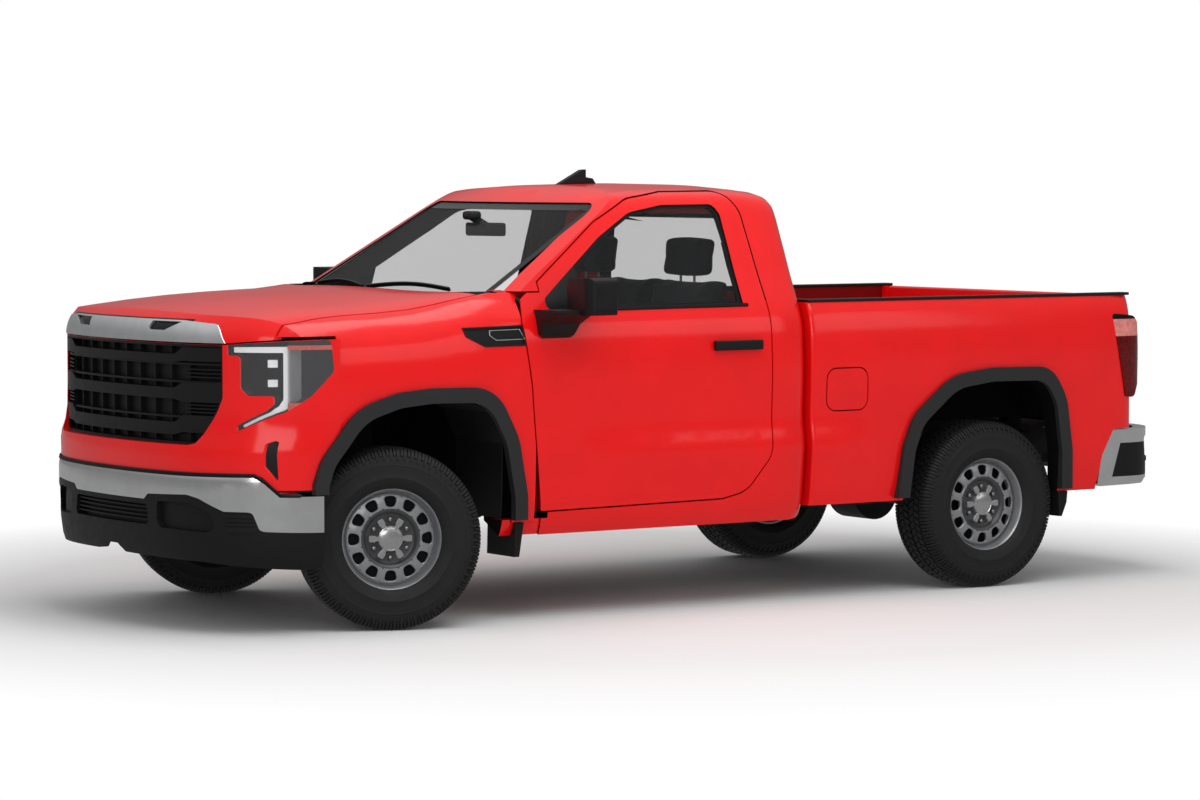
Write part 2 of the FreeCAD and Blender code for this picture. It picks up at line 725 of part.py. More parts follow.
back_wall = Part.Face(section_wire(band_points(cab_back, 1.0, inner_wall / 2, inner_wall / 2)))
back_wall = back_wall.extrude(Vector(0, -back_wall_thickness, 0))
back_wall = back_wall.common(block(-wide, wide, cab_front, cab_back, cab_floor_height - cab_floor_thickness, body_height))
back_wall = back_wall.cut(front_through(front_corners(rear_window_shares), cab_front, cab_back + overrun))
firewall = block(-door_hinge_x + jamb_depth + jamb_wall / 2, door_hinge_x - jamb_depth - jamb_wall / 2, cab_front,
                 cab_front + cab_floor_thickness, cab_floor_height - cab_floor_thickness, cowl_height)
floor_half = half_width - rocker_width - cab_floor_thickness / 2
floor_plate = block(-floor_half, floor_half, cab_front, cab_back, cab_floor_height - cab_floor_thickness, cab_floor_height)
shell = fused([side_left, mirrored(side_left), roof, back_wall, firewall, floor_plate])
shell = shell.cut(front_through(front_corners(screen_corners_shares), -far, along(0.42)))
# Door hinges: a pin on the door in a barrel on the body, low and high
hinge_levels_shares = (0.400, 0.610)
hinge_play = 1.0
hinge_tail = 8.0
hinge_arm_reach = 10.0
arm_sink = 4.0
door_arm_inboard = door_thickness + overrun
jamb_face_x = door_hinge_x - jamb_depth


def door_hinge(z):
    """The door's pin with its arm, then the body's barrel with its arm."""
    low, high = z - door_hinge_height / 2, z + door_hinge_height / 2
    at = Vector(door_hinge_x, door_hinge_y, 0)
    pin = rod(hinge_pin_radius, at + Z_AXIS * (low - hinge_tail), at + Z_AXIS * (high + hinge_tail))
    arms = []
    for a, b in ((low - hinge_tail, low - hinge_play), (high + hinge_play, high + hinge_tail)):
        arms.append(block(door_hinge_x - hinge_pin_radius, door_hinge_x + hinge_pin_radius,
                          door_hinge_y, thick_start + hinge_arm_reach, a, b))
    barrel = rod(hinge_barrel_radius, at + Z_AXIS * low, at + Z_AXIS * high)
    arm = block(jamb_face_x - arm_sink, door_hinge_x, door_hinge_y - hinge_arm_width / 2,
                door_hinge_y + hinge_arm_width / 2, low, high)
    bore = rod(hinge_pin_radius + bead_clearance, at + Z_AXIS * (low - hinge_play), at + Z_AXIS * (high + hinge_play))
    return [pin] + arms, barrel.fuse(arm).cut(bore)


door_metal, body_metal = [], []
for share in hinge_levels_shares:
    a, b = door_hinge(up(share))
    door_metal += a
    body_metal.append(b)
door_left = largest(door_left.fuse(door_metal))

# Glass with the mirror's triangular foot plate in its front corner
sail_back = along(0.2880)
sail_proud = 7.0
window_fill = left_prism(side_corners(window_shares), -seam)
door_glass = glass_blank.common(window_fill)
door_glass = largest(door_glass.cut(block(0, wide, -far, sail_back + seam, 0, body_height)))
sail = side_band(glass_set_in - sail_proud, glass_set_in - sail_proud, glass_set_in + glass_thickness,
                 glass_set_in + glass_thickness)
sail = largest(sail.common(window_fill).common(block(0, wide, -far, sail_back, 0, body_height)))

# Handle
handle_y = along(0.5385)
handle_z = up(0.6200)
handle_length = 263.0
handle_height = 45.0
handle_out = 28.0
handle_sink = 12.0
handle_round = 8.0
handle_x = side_point(handle_y, handle_z)
handle = block(handle_x - handle_sink, handle_x + handle_out, handle_y - handle_length / 2,
               handle_y + handle_length / 2, handle_z - handle_height / 2, handle_z + handle_height / 2)
handle = handle.makeFillet(handle_round, handle.Edges)
grip_gap = handle_length * 0.30
handle = handle.cut(block(0, handle_x + handle_sink, handle_y - grip_gap, handle_y + grip_gap, 0, body_height))
handle = handle.cut(door_left)

# Mirror: head, arm and foot
mirror_y = along(0.2650)
mirror_z = up(0.7450)
mirror_width = 232.0
mirror_height = 165.0
mirror_depth = 150.0
mirror_in = 0.0
mirror_plan_shares = [(0.00, -0.34, 0.10), (0.80, -0.50, 0.30), (1.00, -0.34, 0.16), (1.00, 0.42, 0.08),
                      (0.93, 0.50, 0.06), (0.00, 0.44, 0.06)]
mirror_face_shares = [(0.00, -0.40, 0.12), (0.10, -0.50, 0.12), (0.92, -0.50, 0.20), (1.00, -0.36, 0.14),
                      (0.98, 0.42, 0.16), (0.88, 0.50, 0.16), (0.12, 0.47, 0.20), (0.00, 0.30, 0.14)]
mirror_foot_shares = [(-1.30, 0.14, 0.0), (0.00, 0.14, 0.0), (-0.12, -0.55, 0.10), (-0.40, -0.74, 0.16),
                      (-1.00, -0.74, 0.16), (-1.30, -0.50, 0.16)]
mirror_arm_shares = [(-0.35, -0.62, 0.0), (0.02, -0.62, 0.08), (0.22, -0.24, 0.12), (0.62, 0.04, 0.05),
                     (0.62, 0.14, 0.0), (-0.35, 0.14, 0.0)]
mirror_x = half_width + mirror_in
mirror_foot = mirror_z - mirror_height / 2
head = prism([(mirror_x + a * mirror_width, mirror_y + b * mirror_depth, r * mirror_depth)
              for a, b, r in mirror_plan_shares], "xy", mirror_foot, mirror_foot + mirror_height)
head = head.common(prism([(mirror_x + a * mirror_width, mirror_z + b * mirror_height, r * mirror_height)
                          for a, b, r in mirror_face_shares], "xz", -far, far))
foot = prism([(mirror_y + a * mirror_depth, mirror_foot + b * mirror_height, r * mirror_height)
              for a, b, r in mirror_foot_shares], "yz", 0, wide * 1.2)
foot = foot.common(prism([(mirror_x + a * mirror_width, mirror_foot + b * mirror_height, r * mirror_height)
                          for a, b, r in mirror_arm_shares], "xz", -far, far))
mirror = largest(head.fuse(foot).cut([door_left, sail, door_glass]))
for name, shape in (("door", door_left), ("door_glass", door_glass), ("door_handle", largest(handle))):
    keep(name + "_left", shape)
    keep(name + "_right", mirrored(shape))
keep("mirror_left", [mirror, sail])
keep("mirror_right", [mirrored(mirror), mirrored(sail)])

# Windscreen and rear window
screen_slab = screen_volume(pillar_proud - glass_set_in - glass_thickness).cut(screen_volume(pillar_proud - glass_set_in))
windshield = screen_slab.common(front_through(front_corners(screen_corners_shares), -far, far, -seam))
keep("windshield", largest(windshield))
rear_glass_in = 20.0
rear_glass = front_through(front_corners(rear_window_shares), cab_back - rear_glass_in - glass_thickness,
                           cab_back - rear_glass_in, -seam)
keep("rear_window", rear_glass)

# The front body in one: the hull with its nose, which leans back towards the hood
nose_lean_shares = [(0.0, 0.0), (0.6484, 0.0), (0.6625, -0.003), (0.6745, -0.009), (0.6860, -0.018), (0.6964, -0.030),
                    (0.7095, -0.050), (0.7303, -0.090), (0.8000, -0.220)]


def front_body(inset):
    """The front's outside, set in by a wall."""
    lean = nose_loft([(up(h), across(out) - inset, 0.0) for h, out in nose_lean_shares])
    return front_hull(inset).common(lean)


# Hood
hood_edge_gap = 74.0
hood_bow = 115.0
hood_thickness = 22.0
hood_front_share = -0.310
hood_side_shares = [(-0.300, 0.870), (-0.235, 0.885), (-0.190, 0.902), (-0.165, 0.900), (-0.120, 0.880),
                    (0.000, 0.868), (0.150, 0.860), (0.250, 0.850)]
screen_base_share = 0.734
hood_plan_steps = 8
cowl_lap = 34.0


def hood_side(y, grow=0.0):
    return across(smooth(hood_side_shares, (y - front_axle_y) / wheelbase)) + grow


def hood_plan(z0, z1, front_share, grow=0.0, rear_gap=hood_edge_gap):
    """The hood's plan, from a front line back to a curve ahead of the windscreen's foot."""
    z_foot = up(screen_base_share)
    y0 = along(screen_foot_share) + screen_run * (z_foot - up(screen_low_share)) - rear_gap
    rear = []
    y_side = y0 + hood_bow * (across(0.860) / across(screen_bow_at_share)) ** 2
    x_side = hood_side(y_side, grow)
    for i in range(hood_plan_steps + 1):
        x = x_side * (1 - 2 * i / hood_plan_steps)
        rear.append(Vector(x, y0 + hood_bow * (x / across(screen_bow_at_share)) ** 2, z0))
    side = []
    front = along(front_share)
    for i in range(hood_plan_steps * 2 + 1):
        y = front + (rear[0].y - front) * i / hood_plan_steps / 2
        side.append(Vector(hood_side(y, grow), y, z0))
    right = Part.BSplineCurve()
    right.interpolate(side)
    back = Part.BSplineCurve()
    back.interpolate([side[-1]] + rear[1:-1] + [Vector(-side[-1].x, side[-1].y, z0)])
    left_side = [Vector(-p.x, p.y, p.z) for p in side[::-1]]
    left = Part.BSplineCurve()
    left.interpolate(left_side)
    edges = [right.toShape(), back.toShape(), left.toShape(), Part.makeLine(left_side[-1], side[0])]
    return Part.Face(Part.Wire(edges)).extrude(Vector(0, 0, z1 - z0))


hood_height = up(0.800)
hood_foot_shares = [(-1.100, 0.400, 0.0), (1.100, 0.400, 0.0), (1.100, 0.6665, 0.0), (0.905, 0.6590, 0.0),
                    (0.745, 0.6505, 0.0), (-0.745, 0.6505, 0.0), (-0.905, 0.6590, 0.0), (-1.100, 0.6665, 0.0)]
below_hood = front_through(front_corners(hood_foot_shares), -far, along(-0.1100))
body_out = front_body(0.0)
hood_zone = hood_plan(up(0.600), hood_height, hood_front_share)
hood_shell = body_out.common(hood_zone).cut(front_body(hood_thickness))
hood = hood_shell.cut(below_hood)

# Bright trim over the grille with its dark recess
trim_depth = 9.0
trim_proud = 4.0
trim_shares = [(-0.745, 0.6505, 0.0), (0.745, 0.6505, 0.0), (0.714, 0.6780, 0.01), (0.690, 0.6925, 0.02),
               (0.500, 0.6990, 0.0), (-0.500, 0.6990, 0.0), (-0.690, 0.6925, 0.02), (-0.714, 0.6780, 0.01)]
scoop_shares = [(-0.400, 0.6755, 0.005), (0.400, 0.6755, 0.005), (0.495, 0.6955, 0.0), (-0.495, 0.6955, 0.0)]
scoop_mid_shares = [(-0.265, 0.6600, 0.0), (0.265, 0.6600, 0.0), (0.300, 0.7100, 0.0), (-0.300, 0.7100, 0.0)]
trim_zone = front_through(front_corners(trim_shares), -far, along(-0.150))
trim_bed = front_body(trim_depth)
hood = hood.cut(body_out.cut(front_body(trim_depth + seam)).common(trim_zone))
scoop = front_through(front_corners(scoop_shares), -far, along(-0.150))
scoop = scoop.cut(front_through(front_corners(scoop_mid_shares), -far, along(-0.150)))
trim = front_body(-trim_proud).common(trim_zone).cut([trim_bed, scoop])
keep("hood_trim", largest(trim))

hood_axis_y = along(0.1460)
hood_axis_z = up(0.7020)
hood_lug_x = across(0.745)
hood_lug_width = 16.0
hood_lug_round = 8.0
hood_lug_height = 17.0
hood_lug_reach = 150.0
hood_pin_radius = 6.0
bracket_length = 30.0
bracket_height = 49.0
lug_top, lug_foot = hood_axis_z + hood_lug_height / 2, hood_axis_z - hood_lug_height / 2
hood_lug = prism([(hood_axis_y - hood_lug_reach, up(0.7270), 0), (hood_axis_y - hood_lug_reach * 0.4, up(0.7290), 0),
                  (hood_axis_y + hood_lug_height / 2, lug_top, hood_lug_round),
                  (hood_axis_y + hood_lug_height / 2, lug_foot, hood_lug_round),
                  (hood_axis_y - hood_lug_height * 0.7, lug_foot, hood_lug_round)],
                 "yz", hood_lug_x, hood_lug_x + hood_lug_width)
hood_pin = rod(hood_pin_radius, Vector(hood_lug_x, hood_axis_y, hood_axis_z),
               Vector(hood_lug_x + hood_lug_width * 2.4, hood_axis_y, hood_axis_z))
lugs = []
for piece in (hood_lug, hood_pin):
    lugs += both_sides(piece)
hood = fused([largest(hood)] + lugs)
keep("hood", largest(hood))
bracket = block(hood_lug_x + hood_lug_width * 1.4, hood_lug_x + hood_lug_width * 2.4, hood_axis_y - bracket_length / 2,
                cab_front + arm_sink, hood_axis_z - bracket_height * 0.7, hood_axis_z + bracket_height * 0.3)
bracket = bracket.cut(rod(hood_pin_radius + bead_clearance, Vector(hood_lug_x, hood_axis_y, hood_axis_z),
                          Vector(hood_lug_x + hood_lug_width * 3, hood_axis_y, hood_axis_z)))
body_metal += [bracket]
fixed = []
for piece in body_metal:
    fixed += both_sides(piece)
shell = shell.cut(rod(hood_pin_radius + hinge_play * 2, Vector(-half_width, hood_axis_y, hood_axis_z),
                      Vector(half_width, hood_axis_y, hood_axis_z)))
keep("cab_shell", largest(shell.fuse(fixed)))

# Cowl panel under the rear edge of the hood
under_hood = hood_plan(up(0.550), hood_height, hood_front_share, panel_gap, hood_edge_gap - panel_gap)
under_hood = under_hood.cut(front_hull(hood_thickness + hood_clearance))
cowl = block(-across(0.725), across(0.725), along(0.070), cab_front - seam, up(0.670), up(0.7275))
cowl = cowl.cut([ahead, under_hood])
keep("cowl_panel", largest(cowl))

# Fenders
front_arch = arch_corners(front_arch_shares, front_axle_y)
rear_arch = arch_corners(rear_arch_shares, rear_axle_y)
fascia_back = along(-0.1090)
fascia_top = up(0.6660)
fender_inner_share = 0.800
hood_sweep_radius = 115.0
hood_sweep_share = 0.868
fender = body_out.cut(front_body(skin_thickness)).common(through(side_corners(fender_zone_shares)))
fender = fender.common(block(across(0.600), wide, -far, far, 0, body_height))
fender = fender.cut([through(front_arch), through(door_corners, panel_gap),
                     hood_plan(up(0.600), hood_height, hood_front_share, panel_gap, hood_edge_gap - cowl_lap),
                     block(-far, far, -far, fascia_back + seam, 0, fascia_top),
                     block(-across(fender_inner_share), across(fender_inner_share), along(0.0), far, up(0.626), body_height)])
hood_sweep = rod(hood_sweep_radius, Vector(-across(hood_sweep_share), hood_axis_y, hood_axis_z),
                 Vector(across(hood_sweep_share), hood_axis_y, hood_axis_z))
fender_left = largest(fender.cut(hood_sweep))
stay_front, stay_back = along(0.158), along(0.170)
fender_stay = block(jamb_face_x - arm_sink, across(0.985), stay_front, stay_back, up(0.450), up(0.600))
fender_stay = fender_stay.common(front_hull(skin_thickness / 2))
fender_left = largest(fender_left.fuse(fender_stay).cut(parts["cab_shell"]))
vent_shares = [(0.0853, 0.6771, 0.0), (0.2100, 0.6813, 0.0), (0.2100, 0.6330, 0.0), (0.1186, 0.6322, 0.01),
               (0.0896, 0.6562, 0.008)]
vent_proud = 4.0
vent_depth = 7.0
vent_rim = 7.0
vent_corners = side_corners(vent_shares)
vent_limit = through(door_corners, panel_gap)
fender_left = largest(fender_left.cut(through(vent_corners).cut(vent_limit)))
vent = front_hull(-vent_proud).common(left_prism(vent_corners, -seam)).common(block(across(0.600), wide, -far, far, 0, body_height))
vent = vent.cut([front_hull(vent_depth), vent_limit])
vent_hollow = prism(vent_corners, "yz", 0, wide, -vent_rim).cut([front_hull(vent_depth - vent_proud), prism(door_corners, "yz", 0, wide, panel_gap * 2)])
vent = largest(vent.cut(vent_hollow))
keep("fenders", [fender_left, mirrored(fender_left)])
keep("fender_vents", [vent, mirrored(vent)])

# Front fascia: an upper skin that swells out under the grille
fascia_thickness = 60.0
fascia_foot_shares = [(-1.100, 0.3265, 0.0), (-0.926, 0.3265, 0.0), (-0.876, 0.3600, 0.01), (0.876, 0.3600, 0.01),
                      (0.926, 0.3265, 0.0), (1.100, 0.3265, 0.0), (1.100, 0.6635, 0.0), (0.905, 0.6558, 0.0),
                      (0.745, 0.6473, 0.0), (-0.745, 0.6473, 0.0), (-0.905, 0.6558, 0.0), (-1.100, 0.6635, 0.0)]
fascia_push = 34.0
fascia_swell_shares = [(0.3000, 0.85), (0.3700, 0.95), (0.4040, 1.0), (0.4230, 0.825), (0.4470, 0.30), (0.4800, 0.0),
                       (0.7000, 0.0)]
nose_all = nose_volume(0.0)
nose_inside = nose_volume(-fascia_thickness)
nose_shell = nose_all.cut(nose_inside)
ahead_of_arch = block(-wide, wide, -far, fascia_back, 0, body_height)


def nose_band(out, inside, push=0.0):
    """A shell that follows the nose between two depths."""
    return nose_volume(-out, 0.0, body_height, push).cut(nose_volume(-inside, 0.0, body_height, push))


# Headlamps: outlines seen from the front and, past the split, from the side
lamp_split = across(0.930)
lamp_shares = [(0.753, 0.6239, 0.004), (0.752, 0.6475, 0.0), (0.930, 0.6560, 0.0), (0.960, 0.6572, 0.0),
               (0.960, 0.5170, 0.0), (0.930, 0.4990, 0.0), (0.792, 0.4545, 0.004), (0.789, 0.4690, 0.004),
               (0.880, 0.5010, 0.01), (0.903, 0.5170, 0.006), (0.903, 0.5352, 0.006), (0.826, 0.5352, 0.008),
               (0.801, 0.5520, 0.008), (0.801, 0.6239, 0.010)]
lamp_side_shares = [(-0.2100, 0.6545, 0.0), (-0.1797, 0.6560, 0.0), (-0.1223, 0.6591, 0.012), (-0.1175, 0.5890, 0.020),
                    (-0.1491, 0.5340, 0.030), (-0.1797, 0.4990, 0.0), (-0.2100, 0.4700, 0.0)]


def lamp_prism(distance):
    """The left lamp's outline as a cut through the nose, grown by a distance."""
    front = front_through(front_corners(lamp_shares), -far, along(-0.1000), distance)
    front = front.cut(block(lamp_split, wide, -far, far, 0, body_height))
    side = prism(side_corners(lamp_side_shares), "yz", lamp_split, wide, distance)
    return front.fuse(side)


lamp_rim = 5.0
lamp_floor = 34.0
lamp_back = 56.0
lens_thickness = 4.0
light_front, light_back = 12.0, lamp_floor - seam
lamp_body = nose_band(0.0, lamp_back).common(lamp_prism(-seam))
lamp_hollow = nose_band(-overrun, lamp_floor).common(lamp_prism(-seam - lamp_rim))
housing = lamp_body.cut([lamp_hollow, nose_band(-overrun, lens_thickness)])
module_shares = [(0.820, 0.5420, 0.006), (0.908, 0.5420, 0.004), (0.908, 0.6180, 0.004), (0.812, 0.6180, 0.006),
                 (0.812, 0.5500, 0.006)]
module_front = 20.0
module = nose_band(module_front, lamp_floor + arm_sink).common(front_through(front_corners(module_shares), -far, 0.0))
housing = largest(housing.fuse(module))
lens = largest(nose_band(0.0, lens_thickness - seam).common(lamp_prism(-seam)))
light_shares = [(0.768, 0.6305, 0.002), (0.768, 0.6425, 0.002), (0.9345, 0.6440, 0.002), (0.9345, 0.5255, 0.015),
                (0.926, 0.5060, 0.010), (0.803, 0.4640, 0.002), (0.801, 0.4705, 0.002), (0.905, 0.5110, 0.010),
                (0.917, 0.5270, 0.010), (0.917, 0.6240, 0.004), (0.917, 0.6305, 0.0)]
light = nose_band(light_front, light_back).common(front_through(front_corners(light_shares), -far, 0.0))
light = largest(light.common(lamp_prism(-seam - lamp_rim - seam)))
led_shares = [((0.878, 0.5980), (0.897, 0.6150)), ((0.878, 0.5550), (0.897, 0.5710))]
leds = []
for (x0, z0), (x1, z1) in led_shares:
    leds.append(nose_band(light_front, module_front - seam).common(block(across(x0), across(x1), -far, 0, up(z0), up(z1))))
keep("headlamp_housings", both_sides(housing))
keep("headlamp_lights", both_sides(light) + [s for led in leds for s in both_sides(led)])
keep("headlamp_lenses", both_sides(lens))

# Grille: a frame, three broad bars with blocks at their ends, thin ribs and a back
grille_half_shares = [(0.733, 0.6470, 0.0), (0.733, 0.5300, 0.02), (0.712, 0.5000, 0.02), (0.655, 0.4480, 0.02),
                      (0.628, 0.4270, 0.01), (0.585, 0.4225, 0.02)]
grille_shares = grille_half_shares + [(-x, z, r) for x, z, r in grille_half_shares[::-1]]
grille_front = 5.0
grille_back = 55.0
grille_plate = 48.0
grille_frame = 11.0
bar_shares = [(0.6050, 0.6235, 0.6085, 0.6395), (0.5230, 0.5480, 0.5175, 0.5620), (0.4430, 0.4710, 0.4495, 0.4880)]
bar_neck_share, bar_block_share, bar_end_share = 0.468, 0.528, 0.740
rib_shares = [0.5600, 0.4810, 0.6000]
fine_rib_shares = [0.5720, 0.5805, 0.5890, 0.4935, 0.5015, 0.5095]
post_shares = [0.060, 0.180, 0.300, 0.420, 0.540]
rib_height = 9.0
fine_rib_height = 6.0
post_width = 7.0
rib_front = 14.0
post_front = 26.0
grille_zone = front_through(front_corners(grille_shares), -far, along(-0.200), -seam)
grille_inner = front_through(front_corners(grille_shares), -far, along(-0.200), -grille_frame)
grille_parts = [nose_band(grille_front, grille_back).common(grille_zone).cut(grille_inner),
                nose_band(grille_plate, grille_back).common(grille_zone)]
bar_band = nose_band(grille_front, grille_plate + arm_sink).common(grille_zone)
for low, high, end_low, end_high in bar_shares:
    half = [(bar_neck_share, high, 0.004), (bar_block_share, end_high, 0.004), (bar_end_share, end_high, 0.0),
            (bar_end_share, end_low, 0.0), (bar_block_share - 0.010, end_low, 0.004), (bar_neck_share, low, 0.004)]
    shares = half + [(-x, z, r) for x, z, r in half[::-1]]
    grille_parts.append(bar_band.common(front_through(front_corners(shares), -far, 0.0)))
rib_band = nose_band(rib_front, grille_plate + arm_sink).common(grille_zone)
for h in rib_shares:
    grille_parts.append(rib_band.common(block(-wide, wide, -far, 0, up(h), up(h) + rib_height)))
for h in fine_rib_shares:
    for a, b in ((bar_block_share, bar_end_share), (-bar_end_share, -bar_block_share)):
        grille_parts.append(rib_band.common(block(across(a), across(b), -far, 0, up(h), up(h) + fine_rib_height)))
post_band = nose_band(post_front, grille_plate + arm_sink).common(grille_zone)
for share in post_shares:
    for x in (across(share), -across(share)):
        grille_parts.append(post_band.common(block(x - post_width / 2, x + post_width / 2, -far, 0, 0, body_height)))
grille = largest(fused(grille_parts))

# Dark inserts at the fascia's sides
side_vent_shares = [(0.894, 0.4300, 0.008), (0.927, 0.4400, 0.006), (0.930, 0.3520, 0.002), (0.922, 0.3490, 0.0),
                    (0.893, 0.3800, 0.008)]
side_vent_set_in = 8.0
side_vent_zone = front_through(front_corners(side_vent_shares), -far, fascia_back)
fascia_out = nose_loft([(up(h), 0.0, push * fascia_push) for h, push in fascia_swell_shares])
fascia_front = nose_loft([(up(h), -side_vent_set_in, push * fascia_push) for h, push in fascia_swell_shares])
side_vent = fascia_front.cut(nose_volume(-side_vent_set_in * 3)).common(front_through(front_corners(side_vent_shares), -far, fascia_back, -seam))
side_vent = largest(side_vent)
keep("grille", [grille, side_vent, mirrored(side_vent)])

bumper_thickness = 48.0
bumper_end = along(-0.1340)
bumper_push = 44.3
bumper_swell_shares = [(0.2150, 0.80), (0.2420, 0.94), (0.2900, 1.0), (0.3430, 1.0), (0.3520, 0.92), (0.3620, 0.76)]
bumper_seam = 4.0
bumper_half_shares = [(1.100, 0.3120, 0.0), (0.938, 0.3130, 0.006), (0.884, 0.3570, 0.010), (0.600, 0.3560, 0.0)]
bumper_low_shares = [(0.320, 0.2955, 0.01), (0.348, 0.3080, 0.01), (0.600, 0.3130, 0.02), (0.660, 0.3060, 0.02),
                     (0.770, 0.2790, 0.01), (0.868, 0.2785, 0.01), (0.889, 0.2360, 0.01), (1.100, 0.2290, 0.0)]
bumper_right = bumper_low_shares + bumper_half_shares
bumper_shares = bumper_right + [(-x, z, r) for x, z, r in bumper_right[::-1]]
lamp_cut = lamp_prism(0.0)
fascia = fascia_out.cut(nose_inside).common(front_through(front_corners(fascia_foot_shares), -far, fascia_back))
fascia = fascia.cut([front_through(front_corners(grille_shares), -far, fascia_back), lamp_cut,
                     mirrored(lamp_cut), through(front_arch), side_vent_zone, mirrored(side_vent_zone),
                     front_through(front_corners(bumper_shares), -far, fascia_back, bumper_seam)])
fascia = fascia.cut([hood_plan(up(0.6500), hood_height, hood_front_share, panel_gap).cut(below_hood)])
fascia_solids = [s for s in fascia.Solids if s.Volume > fascia_thickness ** 3 / 8]
keep("front_fascia", fascia_solids)

# Front bumper, bright, with steps to its ends
bumper_out = nose_loft([(up(h), 0.0, push * bumper_push) for h, push in bumper_swell_shares])
bumper_in = nose_volume(-bumper_thickness, 0.0, body_height, bumper_push)
before_end = block(-wide, wide, -far, bumper_end, 0, body_height)
bumper = bumper_out.cut(bumper_in).common(front_through(front_corners(bumper_shares), -far, 0.0))
bumper = largest(bumper.common(before_end).cut(through(front_arch, arm_sink)))
keep("front_bumper", bumper)

# Lower front: dark, with an air opening, two recesses and ribbed corner pads
valance_tuck = 30.0
valance_swell_shares = [(0.1300, -1.0, 0.40), (0.1560, -0.40, 0.52), (0.1800, -0.13, 0.68), (0.2150, 0.0, 0.80),
                        (0.2420, 0.0, 0.88), (0.3700, 0.0, 0.88)]
valance_face_share = 0.88
valance_low_shares = [(0.070, 0.1857, 0.01), (0.125, 0.1675, 0.01), (0.650, 0.1638, 0.02), (0.972, 0.1485, 0.01),
                      (0.992, 0.1600, 0.01), (1.100, 0.1800, 0.0)]
valance_top_shares = [(1.100, 0.2290, 0.0), (0.889, 0.2360, 0.01), (0.868, 0.2785, 0.01), (0.770, 0.2790, 0.01),
                      (0.660, 0.3060, 0.02), (0.600, 0.3130, 0.02), (0.348, 0.3080, 0.01), (0.320, 0.2955, 0.01)]
valance_right = valance_low_shares + valance_top_shares
valance_shares = valance_right + [(-x, z, r) for x, z, r in valance_right[::-1]]
valance_thickness = 44.0
air_shares = [(-0.345, 0.2380, 0.01), (0.345, 0.2380, 0.01), (0.330, 0.2840, 0.01), (-0.330, 0.2840, 0.01)]
recess_shares = [(0.405, 0.2350, 0.02), (0.700, 0.2300, 0.03), (0.735, 0.2450, 0.02), (0.700, 0.2760, 0.02),
                 (0.600, 0.2950, 0.01), (0.405, 0.2930, 0.01)]
recess_depth = 26.0
pad_shares = [(0.786, 0.2330, 0.004), (0.884, 0.2340, 0.004), (0.866, 0.2735, 0.01), (0.772, 0.2735, 0.004)]
pad_groove_shares = [0.2450, 0.2540, 0.2630]
pad_groove = 5.0
air_bar_shares = [0.2470, 0.2565, 0.2660, 0.2755]
air_bar_height = 6.0
valance_out = nose_loft([(up(h), out * valance_tuck, push * bumper_push) for h, out, push in valance_swell_shares])
valance_in = nose_loft([(up(h), out * valance_tuck - valance_thickness, push * bumper_push)
                        for h, out, push in valance_swell_shares])
valance_zone = front_through(front_corners(valance_shares), -far, 0.0, -seam)
valance = valance_out.cut(valance_in).common(valance_zone).common(before_end)
valance = valance.cut([front_through(front_corners(air_shares), -far, 0.0)])
valance_push = bumper_push * valance_face_share
deep = nose_volume(-recess_depth, 0.0, body_height, valance_push)
for side in (1, -1):
    recess = front_through([(side * a, b, r) for a, b, r in front_corners(recess_shares)], -far, 0.0).cut(deep)
    valance = valance.cut(recess)
pads, air_bars = [], []
pad_out = nose_volume(0.0, 0.0, body_height, bumper_push).cut(nose_volume(-pad_groove * 3, 0.0, body_height, bumper_push))
pad = pad_out.common(front_through(front_corners(pad_shares), -far, 0.0))
for h in pad_groove_shares:
    groove = block(across(0.750), wide, -far, 0, up(h), up(h) + pad_groove)
    pad = pad.cut(groove.cut(nose_volume(-pad_groove, 0.0, body_height, bumper_push)))
air_band = nose_band(pad_groove * 2, valance_thickness - pad_groove, valance_push)
for h in air_bar_shares:
    air_bars.append(air_band.common(block(-across(0.350), across(0.350), -far, 0, up(h), up(h) + air_bar_height)))
air_plate = nose_band(valance_thickness - pad_groove * 2, valance_thickness, valance_push)
air_bars.append(air_plate.common(block(-across(0.350), across(0.350), -far, 0, up(0.2350), up(0.2870))))
valance = largest(fused([valance] + both_sides(pad) + air_bars))
valance = largest(valance.cut([bumper, through(front_arch, arm_sink)]))
keep("front_valance", valance)

# Load box
box_front = along(0.6710)
box_back = along(1.2785)
inner = half_width - box_wall
box_foot_share = 0.228
box_levels = [f for f in flank_shares if box_foot_share < f[0] < 0.700]


def box_wire(y, inset):
    """The box side in cross section, its outer face set in at the ends."""
    s = (y - front_axle_y) / wheelbase
    levels = [(up(box_foot_share), across(smooth(flank_shares, box_foot_share)))]
    levels += [(up(h), across(w)) for h, w in box_levels]
    levels += [(box_top_height, across(smooth(flank_shares, box_top_height / body_height)))]
    line = []
    for z, x in levels:
        crease = smooth(crease_along_shares, s) * smooth(crease_up_shares, z / body_height) * crease_depth
        line.append(Vector(x + crease - inset, y, z))
    curve = Part.BSplineCurve()
    curve.interpolate(line)
    a, b = line[-1], line[0]
    c, d = Vector(inner, y, a.z), Vector(inner, y, b.z)
    return Part.Wire([curve.toShape(), Part.makeLine(a, c), Part.makeLine(c, d), Part.makeLine(d, b)])


